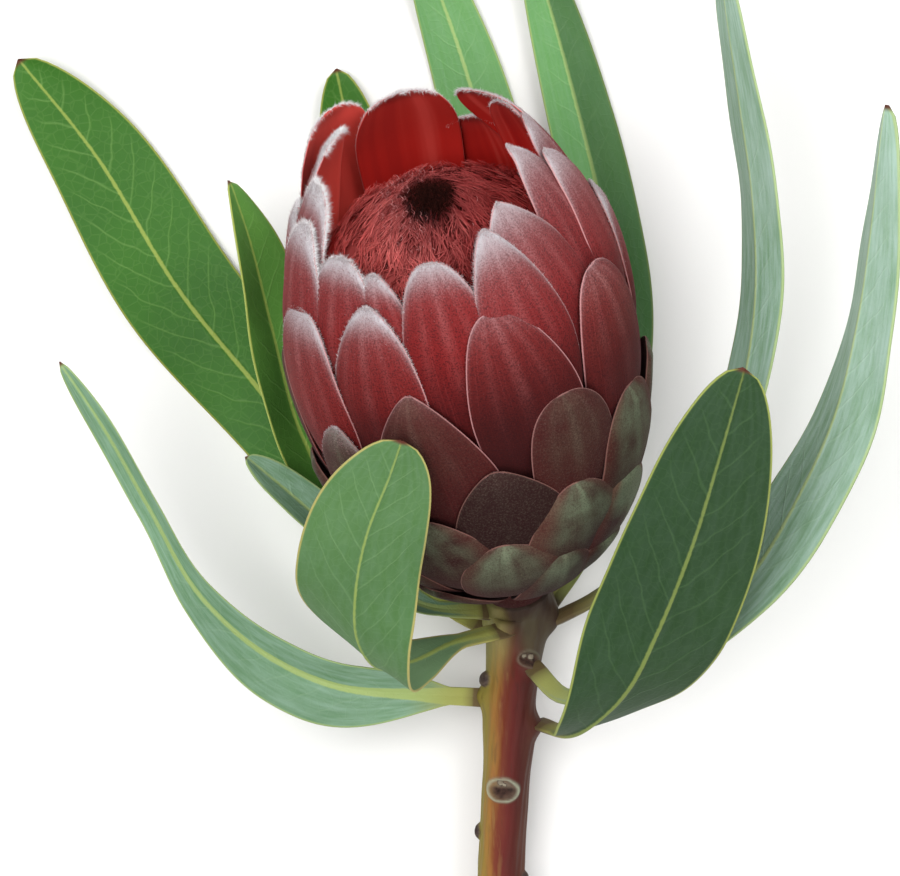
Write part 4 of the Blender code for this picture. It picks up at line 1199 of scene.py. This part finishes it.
def stemBumps(y, angle, radius):
    # how far the skin stands out at leaf seats, scars and buds, and what to paint there
    height, rim, pit, bud = 0 * y, 0 * y, 0 * y, 0 * y

    def away(y0, bearing, size, stretch=1.0):
        turn = (angle - math.radians(bearing) + math.pi) % (2 * math.pi) - math.pi
        return np.hypot((y - y0) / stretch, turn * radius) / size

    def dome(d):
        return np.sqrt(np.clip(1 - d**2, 0, 1))

    for leaf in leaves.values():
        y0, bearing = leaf["at"]
        d = away(y0, bearing, stem["seatRadius"])
        below = away(y0 - 3.5, bearing, 2.6, 2.2)
        height = height + stem["seatHeight"] * np.exp(-(d**2) * 1.6) + 0.5 * np.exp(-(below**2))
    for y0, bearing, size, stands, pale in stem["scars"]:
        d = away(y0, bearing, size, 0.76) + 0.025 * np.sin(1.7 * angle * radius + y)
        ring = np.exp(-(((d - 0.9) / 0.13) ** 2))
        height = height + stands * (ring + 0.4 * np.exp(-((d / 1.5) ** 4)))
        height = height - 0.5 * np.exp(-((d / 0.7) ** 4))
        rim = np.maximum(rim, pale * np.maximum(ring * 0.95, 0.5 * np.exp(-((d / 0.8) ** 6))))
        pit = np.maximum(pit, np.exp(-((d / 0.78) ** 8)) * (0.35 + 0.65 * smoothStep(0.9, 0.1, y - y0)))
    for y0, bearing, size, stands in stem["buds"]:
        d = away(y0, bearing, size, 1.25)
        height = height + stands * dome(d)
        bud = np.maximum(bud, smoothStep(1.15, 0.75, d))
    for y0, bearing, size in stem["beads"]:
        d = away(y0, bearing, size)
        height = height + stem["beadHeight"] * dome(d)
        pit = pit * smoothStep(0.9, 1.3, d)
        bud = np.maximum(bud, 2 * smoothStep(1.15, 0.85, d))
    return height, np.stack([rim, pit, bud], -1)


def makeStem(finishes):
    random = np.random.default_rng(stem["seed"])
    rings, sides = stem["rings"], stem["sides"]
    share = np.linspace(0, 1, rings + 1)
    middle = stemAt(share)
    along = unit(stemAt(np.minimum(share + 0.005, 1)) - stemAt(np.maximum(share - 0.005, 0)))
    along[-1] = headAxis
    aside = unit(np.cross(along, np.array([0, 0, 1.0])))
    over = np.cross(aside, along)
    turn = 2 * math.pi * np.arange(sides) / sides
    radius = stemRadius(share)[:, None] + 0 * turn
    y, bearing = middle[:, 1][:, None] + 0 * turn, turn + 0 * share[:, None]
    bumps, painted = stemBumps(y, bearing, radius)
    # fine lengthwise ribs, and a slow swelling
    phase = random.uniform(0, 6, 6)
    waves = [np.sin(bearing * (5 + 3 * n) + phase[n] + 0.05 * (n + 1) * y) for n in range(6)]
    ribs = sum(stem["ribHeight"] * wave for wave in waves)
    swell = 0.12 * np.sin(y / 5.3 + np.cos(bearing)) + 0.1 * np.sin(y / 2.1 + 2 * np.sin(bearing))
    r = radius + bumps + ribs + swell * 0.5
    r[0] = r[0] - stem["cutBevel"]
    out = aside[:, None] * np.cos(turn)[None, :, None] + over[:, None] * np.sin(turn)[None, :, None]
    points = middle[:, None] + out * r[..., None]
    points[..., 2] = np.maximum(points[..., 2], 0.02)  # clear of the floor
    neck = smoothStep(*stem["neck"], y + 6 * out[..., 0])
    place = gridOf(y, 0.5 + 0.5 * out[..., 0] * 0.9, share[:, None], neck)
    # the cut end: rings of wood inside the bark
    sizes, tones = np.array(stem["cutRings"]).T
    sunk = np.where(sizes > 0.95, 0.25, 0.3)[:, None, None]
    cap = middle[0] + (points[0] - middle[0]) * sizes[:, None, None] - along[0] * sunk
    capMark = gridOf(cap[..., 0], tones[:, None], 0, 0)
    part = tubePart(np.concatenate([cap, points]), {
        "stemPlace": np.concatenate([np.repeat(place[:1], len(cap), 0), place]),
        "stemMark": np.concatenate([capMark, painted]),
    })
    cutFaces = np.zeros(len(part[1]), int)
    cutFaces[: len(cap) * sides] = 1
    lastFaces = len(part[1]) - 2 * sides
    cutFaces[lastFaces: lastFaces + sides] = 1
    makePiece("stemBark", part, finishes, "stem", faceFinish=cutFaces)


# Leaves


leaves = {
    "leaf_long_left": dict(
        at=(-41, 203), width=23.5, widest=0.6, fold=[(0, 0), (1, 8)], finish="bright", wave=0.5,
        midrib=[
            (-7, -38.8, 8.6), (-20, -29.5, 3.2), (-33, -15, 1.2), (-43, 0, 0.7), (-62, 24, 0.35),
            (-79, 52, 1.6), (-93, 70, 4.5),
        ],
        faces=[(0, (-0.2, 0.5, 0.85)), (0.25, (0, 0, 1)), (1, (0.05, 0, 1))]),
    "leaf_narrow_left": dict(
        at=(-36.8, 215), width=17.5, widest=0.6, fold=[(0, 0), (0.2, 14), (1, 14)],
        finish="fresh", wave=0.5,
        midrib=[
            (-11, -31.5, 10.5), (-26.5, -22, 12.5), (-37.5, -3, 18), (-43.5, 20, 24), (-47.5, 37, 27),
            (-51, 48, 28),
        ],
        faces=[(0, (0, 0.5, 0.85)), (0.35, (0.5, 0.1, 0.8)), (1, (0.8, 0.1, 0.5))]),
    "leaf_under_left": dict(
        at=(-38, 248), width=17, widest=0.6, fold=[(0, 0), (0.5, 0), (1, 6)],
        finish="bright", wave=0.3,
        midrib=[(-6, -28, 3.6), (-16.5, -4, 0.9), (-23.5, 30, 1.0), (-28, 53, 1.0), (-31, 68, 2.5)],
        faces=[(0, (0, 0.6, 0.8)), (0.3, (0, 0, 1)), (1, (0, 0, 1))]),
    "leaf_under_middle": dict(
        at=(-44.5, 274), width=16, widest=0.5, fold=[(0, 0), (1, 0)], finish="light", wave=0.3,
        midrib=[
            (4.3, -40, 5.0), (4, -31, 2.4), (3, -18, 0.8), (1, 0, 0.3), (1, 20, 0.3), (0.5, 42, 0.35),
            (-4.5, 64, 0.8), (-10.5, 82, 1.8), (-17, 99, 4.5),
        ],
        faces=[(0, (0, 0.7, 0.7)), (0.2, (0, 0, 1)), (1, (0, 0, 1))]),
    "leaf_under_right": dict(
        at=(-36.8, 318), width=14.5, widest=0.5, fold=[(0, 0), (0.2, 10), (1, 10)],
        finish="light", wave=0.3,
        shade=(0, 1),
        midrib=[
            (17, -28, 8), (21.5, -14, 4.5), (24, 1, 2.6), (24.5, 17, 1.2), (21.5, 38, 0.35),
            (15.5, 63, 1.0), (10.5, 81, 2.2), (5.5, 97, 4.5),
        ],
        faces=[(0, (0, 0.5, 0.85)), (0.3, (0.2, 0, 1)), (1, (0.1, 0, 1))]),
    "leaf_right": dict(
        at=(-38.5, 5), width=16, widest=0.6, fold=[(0, 0), (0.3, 0), (0.6, -8), (1, -5)],
        finish="silver", wave=0.3,
        shade=(0.22, 0), brownTo=0.16,
        midrib=[
            (19, -34.5, 19), (32, -23, 22), (43, -8, 27), (47.5, 8, 30), (49.7, 25, 32), (49, 45, 32),
            (46.5, 63, 30), (43.7, 82, 28), (42.7, 90, 27),
        ],
        faces=[(0, (-0.2, 0.8, 0.5)), (0.35, (-0.8, 0.2, 0.45)), (1, (-0.92, 0, 0.38))]),
    "leaf_far_right": dict(
        at=(-48, 55), width=19.5, widest=0.5, fold=[(0, 0), (0.4, -3), (0.75, -18), (1, -18)],
        pinch=[(0, 1), (0.1, 0.75), (0.25, 0.8), (0.45, 1), (1, 1)], finish="silver", wave=0.4,
        lowShade=0.28,
        midrib=[
            (13, -52, 27), (25, -47.5, 37), (38, -37, 44), (49.5, -23.5, 49), (57, -10, 50),
            (63.5, 5, 50), (67.5, 22, 50), (70.3, 42, 49), (72, 58, 47), (72.7, 63.5, 46.5),
        ],
        faces=[
            (0, (-0.3, 0.8, 0.3)), (0.3, (-0.75, 0.35, 0.55)), (0.5, (-0.8, 0.27, 0.54)),
            (0.75, (-0.9, 0.08, 0.42)), (1, (-0.93, 0, 0.3)),
        ]),
    "leaf_front_right": dict(
        at=(-60, 15), width=26.5, widest=0.52, fold=[(0, 0), (0.3, 6), (1, 6)],
        finish="dark", wave=0.4, turned=1,
        rib=0.8, brownTo=0.1,
        midrib=[
            (13.5, -59.6, 24.5), (18.5, -55.5, 37.5), (25, -46.5, 50), (30, -34, 60), (36.5, -14, 71),
            (40.3, 1, 77), (44.5, 18, 82),
        ],
        faces=[
            (0, (-0.3, 0.9, 0.1)), (0.3, (-0.1, 0.8, -0.4)), (0.5, (0, 0.3, -0.95)), (1, (0, 0.2, -1)),
        ]),
    "leaf_front_left": dict(
        at=(-40.5, 122), width=23.5, widest=0.7, fold=[(0, 0), (0.3, 8), (1, 8)],
        finish="matte", wave=0.4, turned=1,
        rib=0.55,
        midrib=[
            (-8, -42, 26), (-16, -44, 36), (-22.5, -42.5, 48), (-26, -35.5, 57), (-26.2, -26, 64),
            (-24, -14, 70), (-19.5, -2, 74), (-17.5, 4, 76),
        ],
        faces=[
            (0, (0.2, 0.7, 0.6)), (0.3, (0.6, 0.7, 0.2)), (0.5, (0.5, 0.6, -0.6)),
            (0.65, (0.1, 0.4, -1)), (1, (0, 0.3, -1)),
        ]),
    "leaf_low_left": dict(
        at=(-55, 180), width=16.5, widest=0.3, rib=1.5, fold=[(0, 10), (0.3, 35), (0.6, 45), (1, 40)],
        pinch=[(0, 1), (0.35, 1), (0.62, 0.5), (0.9, 0.62), (1, 0.7)], finish="grey", wave=0.4,
        midrib=[
            (-14, -53.5, 17.5), (-31.5, -51, 20), (-44.5, -44.5, 22.5), (-57, -32.5, 26),
            (-66.5, -15, 29.5), (-75.5, 2, 33), (-83, 14, 36),
        ],
        faces=[(0, (0, 0.2, 1)), (0.2, (0, -0.26, 0.97)), (0.6, (-0.08, 0, 1)), (1, (0, 0, 1))]),
    "leaf_small_left": dict(
        at=(-37, 162), width=10, widest=0.6, fold=[(0, 0), (0.2, 20), (1, 20)],
        finish="grey", wave=0.2,
        midrib=[(-13, -36, 19.5), (-25.5, -27.5, 21.5), (-36, -16, 26.5), (-48, -5, 30)],
        faces=[(0, (0.1, 0.6, 0.8)), (1, (0.5, 0.3, 0.8))]),
}
leafForm = {
    "seed": 41,
    "thickness": 0.55,
    "edgeThickness": 0.35,
    "stalkThickness": 2.4,
    "stalkHalfWidth": 1.9,
    "stalkTo": 0.35,  # the share of the length where the stalk's thickness ends
    "ribHeight": 0.45,
    "ribHalfWidth": [(0, 1.5), (0.12, 0.85), (0.4, 0.45), (0.8, 0.27), (1, 0.15)],
    "tipWidth": 0.02,
    "rows": 90,
    # where the points stand across half a blade, closer at the midrib and the margin
    "across": [0, 0.04, 0.09, 0.16, 0.26, 0.38, 0.52, 0.66, 0.78, 0.88, 0.95, 1.0],
    "intoStem": 2.4,
    "floorGap": 0.03,
    "waves": [(1.6, 2.4), (4, 6)],  # how many slow and quick waves run along the margins
    "back": (150, 180, 140),
    "bloom": (178, 202, 194),
    "shade": (178, 184, 174),
    "tip": (84, 40, 26),
    "stalk": ((158, 154, 80), 0.75),
    "foot": ((84, 58, 46), 0.85),
    "marginStrength": 0.7,
    "netStrength": 0.35,  # of the net's veins, as a share of the side veins'
}
ribHalfWidth = smoothCurve(leafForm["ribHalfWidth"])
leafFinishes = {
    # blade, its pale and dark tones, veins, rib and margin; how pale the veins are, how grey the bloom
    "bright": dict(blade=(50, 102, 19), dark=(40, 89, 16), vein=(120, 158, 84), rib=(158, 170, 78),
                   margin=(160, 160, 74), veinShare=0.24, bloom=0.0, rough=0.55, spacing=7.5),
    # a lighter copy of the bright finish: painted light for a blade that faces away from the lamps
    "fresh": dict(blade=(96, 150, 64), dark=(80, 130, 54), vein=(134, 176, 96), rib=(172, 190, 92),
                  margin=(172, 176, 84), veinShare=0.22, bloom=0.0, rough=0.55, spacing=7.5),
    "light": dict(blade=(104, 156, 88), dark=(84, 138, 74), vein=(146, 186, 128), rib=(172, 192, 116),
                  margin=(156, 172, 100), veinShare=0.16, bloom=0.1, rough=0.55, spacing=6.5),
    "dark": dict(blade=(31, 62, 23), dark=(25, 54, 20), vein=(76, 106, 64), rib=(128, 142, 70),
                 margin=(166, 174, 88), veinShare=0.2, bloom=0.03, rough=0.68, spacing=8.5),
    "matte": dict(blade=(72, 109, 57), dark=(62, 99, 49), vein=(122, 154, 106), rib=(152, 166, 84),
                  margin=(186, 170, 100), veinShare=0.19, bloom=0.06, rough=0.68, spacing=6.0),
    "grey": dict(blade=(106, 142, 106), dark=(86, 124, 84), vein=(144, 172, 140), rib=(160, 176, 102),
                 margin=(150, 168, 98), veinShare=0.18, bloom=0.35, rough=0.55, spacing=7.0),
    "silver": dict(blade=(146, 176, 152), dark=(104, 142, 104), vein=(166, 190, 164), rib=(172, 186, 120),
                   margin=(156, 174, 106), veinShare=0.18, bloom=0.7, rough=0.5, spacing=7.0),
}


def makeLeafFinish(name, tones):
    finish, tree, shader = newFinish(name + "Leaf", Roughness=tones["rough"], Specular_IOR_Level=0.28)
    along, across, half = splitMark(tree, "leafPlace")
    share, rib, under = splitMark(tree, "leafForm")
    shade, brown = splitMark(tree, "leafShade")[:2]
    pattern = useGroup(tree, leafPattern, {
        "Along": along, "Across": across, "Half": half, "Rib": rib, "Spacing": tones["spacing"],
    })
    slow, fine = mottled(tree, 45.0, 2.4), mottled(tree, 700.0, 1.6)
    blade = blend(tree, slow, tones["dark"], tones["blade"])
    blade = tint(tree, blade, (tones["dark"], 0.25), fine)
    # a waxy bloom in lengthwise streaks, and a paler back
    place = {"X": times(tree, across, 0.9), "Y": times(tree, share, 1.5)}
    streaks = noiseOf(tree, 9.0, 4.0, addNode(tree, "ShaderNodeCombineXYZ", place).outputs[0])
    blade = tint(tree, blade, (leafForm["bloom"], tones["bloom"]), fade(tree, streaks, 0.2, 0.85))
    blade = blend(tree, under, blade, blend(tree, 0.35, blade, leafForm["back"]))
    for mark, colour, strength in (
        ("Net", "vein", tones["veinShare"] * leafForm["netStrength"]),
        ("Vein", "vein", tones["veinShare"]),
        ("Rib", "rib", minus(tree, 0.9, times(tree, share, 0.4))),
        ("Margin", "margin", leafForm["marginStrength"]),
    ):
        blade = tint(tree, blade, (tones[colour], strength), pattern[mark])
    blade = tint(tree, blade, leafForm["stalk"], fade(tree, share, 0.14, 0.03))
    foot = plus(tree, fade(tree, share, 0.035, 0.0), brown, clamp=True)
    blade = tint(tree, blade, leafForm["foot"], foot)
    # painted shade, by the leafShade mark
    paintedShadeBlade = blend(tree, 1.0, blade, leafForm["shade"], "MULTIPLY")
    blade = blend(tree, shade, blade, paintedShadeBlade)
    blade = blend(tree, fade(tree, share, 0.99, 0.998), blade, leafForm["tip"])
    connect(tree, shader.inputs["Base Color"], blade)
    height = plus(tree, times(tree, pattern["Vein"], 0.6), times(tree, pattern["Net"], 0.25))
    addBump(tree, shader, plus(tree, height, times(tree, fine, 0.25)), 0.45, 0.00018)
    return finish


def leafHalfWidth(leaf, share):
    widest, tip = leaf["widest"], leafForm["tipWidth"]
    rising = np.sin(math.pi / 2 * np.clip(share / widest, 0, 1)) ** 1.25
    u = np.clip((share - widest) / (1 - widest), 0, 1)
    shape = np.where(share < widest, rising, tip + (1 - tip) * (1 - u**2.3) ** 0.55)
    if "pinch" in leaf:
        shape = shape * smoothCurve(leaf["pinch"])(share)
    return np.maximum(leafForm["stalkHalfWidth"] * (1 - share), leaf["width"] / 2 * shape)


def makeLeaf(node, leaf, finish, random):
    start = stemPoint(*leaf["at"], stem["seatHeight"])
    line = smoothLine([tuple(start), *leaf["midrib"]])
    length = float(np.linalg.norm(np.diff(line(np.linspace(0, 1, 400)), axis=0), axis=1).sum())
    t = np.linspace(0, 1, leafForm["rows"] + 1)
    share = t + 0.06 * np.sin(2 * math.pi * t) / 2
    c = np.array(leafForm["across"])
    across = np.concatenate([-c[:0:-1], c])
    # which way the blade faces, and its width and fold, along the midrib
    look = np.stack([smoothCurve([(s, f[k]) for s, f in leaf["faces"]])(share) for k in range(3)], -1)
    along = unit(line(np.minimum(share + 0.01, 1)) - line(np.maximum(share - 0.01, 0)))
    side = unit(np.cross(along, look))
    up = np.cross(side, along)
    half = leafHalfWidth(leaf, share)
    rise = np.radians(smoothCurve(leaf["fold"])(share))[:, None]
    s, a = share[:, None], across[None]
    wave = leaf["wave"] * smoothStep(0.15, 0.4, s) * np.abs(a) ** 2
    slow, quick = [2 * math.pi * (s * random.uniform(*turns) + random.random())
                   for turns in leafForm["waves"]]
    wave = wave * (np.sin(slow + a) + 0.4 * np.sin(quick + 2 * a))
    offset = side[:, None] * (a * half[:, None] * np.cos(rise))[..., None]
    lift = np.abs(a) * half[:, None] * np.sin(rise) + wave
    sheet = line(share)[:, None] + offset + up[:, None] * lift[..., None]
    # how thick it is above and below: the blade, the midrib, and the stalk under it
    ribWide = np.minimum(ribHalfWidth(s) * leaf.get("rib", 1), half[:, None] * 0.9)
    mound = np.exp(-((np.abs(a) * half[:, None] / (ribWide * 1.15)) ** 2))
    stalk = (1 - s) ** 1.5
    nearEdge = np.abs(a) ** 8
    body = leafForm["thickness"] / 2 * (1 - nearEdge) + leafForm["edgeThickness"] / 2 * nearEdge
    ribUp = leafForm["ribHeight"] * (0.35 + 0.65 * stalk) * mound * 0.5
    stalkDown = leafForm["stalkThickness"] / 2 * stalk * smoothStep(leafForm["stalkTo"], 0, s)
    ribDown = (stalkDown + leafForm["ribHeight"] * 0.8) * mound
    ends = 1 - 0.6 * smoothStep(0.985, 1, s)
    normals = up[:, None] + 0 * sheet
    top = sheet + normals * ((body + ribUp) * ends)[..., None]
    bottom = sheet - normals * ((body + ribDown) * ends)[..., None]
    pressed = np.maximum(0, leafForm["floorGap"] - np.minimum(top[..., 2], bottom[..., 2]))
    top[..., 2] += pressed
    bottom[..., 2] += pressed
    # one more row, inside the stem
    into = along[0] * leafForm["intoStem"]
    top = np.concatenate([top[:1] * 0.5 + bottom[:1] * 0.5 + (top[:1] - bottom[:1]) * 0.42 - into, top])
    bottom = np.concatenate([top[:1] - (top[1:2] - bottom[:1]) * 0.8, bottom])
    s = np.concatenate([s[:1], s])
    halfRows = np.concatenate([half[:1], half])[:, None]
    like = s + a
    place = gridOf(like, s * length, a, halfRows)
    ribMark = ribHalfWidth(s) * leaf.get("rib", 1)
    # 1 where the blade curls over, so that its lower grid is the side that looks up
    turned = leaf.get("turned", 0)
    # painted shade: how much darker each half of the blade is, left and right, and how much darker its
    # lower part
    left, right = leaf.get("shade", (0, 0))
    low = leaf.get("lowShade", 0) * (1 - smoothStep(0.4, 0.75, s))
    shade = np.maximum(left + (right - left) * smoothStep(-0.08, 0.08, a), low)
    shade = gridOf(like, shade, smoothStep(leaf.get("brownTo", 0.001), 0, s), 0)
    part = slabPart(top, bottom, {
        "leafPlace": (place, place),
        "leafForm": (gridOf(like, s, ribMark, turned), gridOf(like, s, ribMark, 1 - turned)),
        "leafShade": (shade, shade),
    })
    first, *words = node.split("_")
    makePiece(first + "".join(word.capitalize() for word in words), part, [finish], node)


# Floor, light and camera


studio = {
    "floorSize": 12.0,
    "floorColour": (236, 235, 233),
    "worldColour": (242, 243, 245),
    "worldStrength": 0.5,
    "lights": [
        # name, place in metres, power in watts, size in metres
        ("keyLight", (-0.5, 0.3, 1.5), 21.0, 1.1),
        ("fillLight", (0.35, -1.0, 1.3), 9.0, 1.2),
        ("mouthLight", (0.75, 0.95, 1.2), 13.0, 0.8),
    ],
    "cameraTilt": 7.3,
    "cameraAim": (-8.7, -0.2, 39.0),
    "cameraDistance": 900.0,
    "widthAtAim": 171.0,
    "sensorWidth": 36.0,
}


def makeStudio():
    finish, tree, shader = newFinish("palePaper", Roughness=0.9, Specular_IOR_Level=0.2)
    grain = mottled(tree, 6.0, 0.6)
    red, green, blue = studio["floorColour"]
    shade = blend(tree, grain, (red, green, blue), (red - 3, green - 3, blue - 3))
    connect(tree, shader.inputs["Base Color"], shade)
    half = studio["floorSize"] / 2
    mesh = bpy.data.meshes.new("studioFloor")
    corners = [(-half, -half, 0), (half, -half, 0), (half, half, 0), (-half, half, 0)]
    mesh.from_pydata(corners, [], [(0, 1, 2, 3)])
    mesh.materials.append(finish)
    floor = bpy.data.objects.new("studioFloor", mesh)
    bpy.context.scene.collection.objects.link(floor)
    world = bpy.data.worlds.new("softStudio")
    world.use_nodes = True
    background = world.node_tree.nodes["Background"]
    background.inputs["Color"].default_value = paint(*studio["worldColour"])
    background.inputs["Strength"].default_value = studio["worldStrength"]
    bpy.context.scene.world = world
    for name, place, power, size in studio["lights"]:
        light = bpy.data.lights.new(name, "AREA")
        light.shape = "DISK"
        light.size = size
        light.energy = power
        lamp = bpy.data.objects.new(name, light)
        lamp.location = place
        lamp.rotation_euler = (-Vector(place)).to_track_quat("-Z", "Y").to_euler()
        bpy.context.scene.collection.objects.link(lamp)


def makeCamera():
    tilt = math.radians(studio["cameraTilt"])
    toCamera = Vector((0, math.sin(tilt), math.cos(tilt)))
    upward = Vector((0, math.cos(tilt), -math.sin(tilt)))
    turn = Matrix((Vector((1, 0, 0)), upward, toCamera)).transposed().to_4x4()
    place = (Vector(studio["cameraAim"]) + toCamera * studio["cameraDistance"]) * mm
    camera = bpy.data.cameras.new("mainCamera")
    camera.sensor_width = studio["sensorWidth"]
    camera.lens = studio["sensorWidth"] * studio["cameraDistance"] / studio["widthAtAim"]
    holder = bpy.data.objects.new("mainCamera", camera)
    holder.matrix_world = Matrix.Translation(place) @ turn
    bpy.context.scene.collection.objects.link(holder)
    bpy.context.scene.camera = holder


bpy.context.scene.view_settings.view_transform = "Standard"
makeStudio()
makeCamera()
print("studio ready")

bractSheets = makeBracts(placeOfHead, makeBractFinish())
print("bracts made")
downFinish = makeDownFinish()
makeFringe(bractSheets, placeOfHead, downFinish)
makeVelvet(bractSheets, placeOfHead, downFinish)
makeFlorets(placeOfHead, makeFloretFinish())
makeTuft(placeOfHead, makeTuftFinish())
print("florets made")
makeStem([makeStemFinish(), makeCutFinish()])
print("stem made")
finishes = {name: makeLeafFinish(name, tones) for name, tones in leafFinishes.items()}
leafRandom = np.random.default_rng(leafForm["seed"])
for node, leaf in leaves.items():
    makeLeaf(node, leaf, finishes[leaf["finish"]], leafRandom)
print("leaves made")
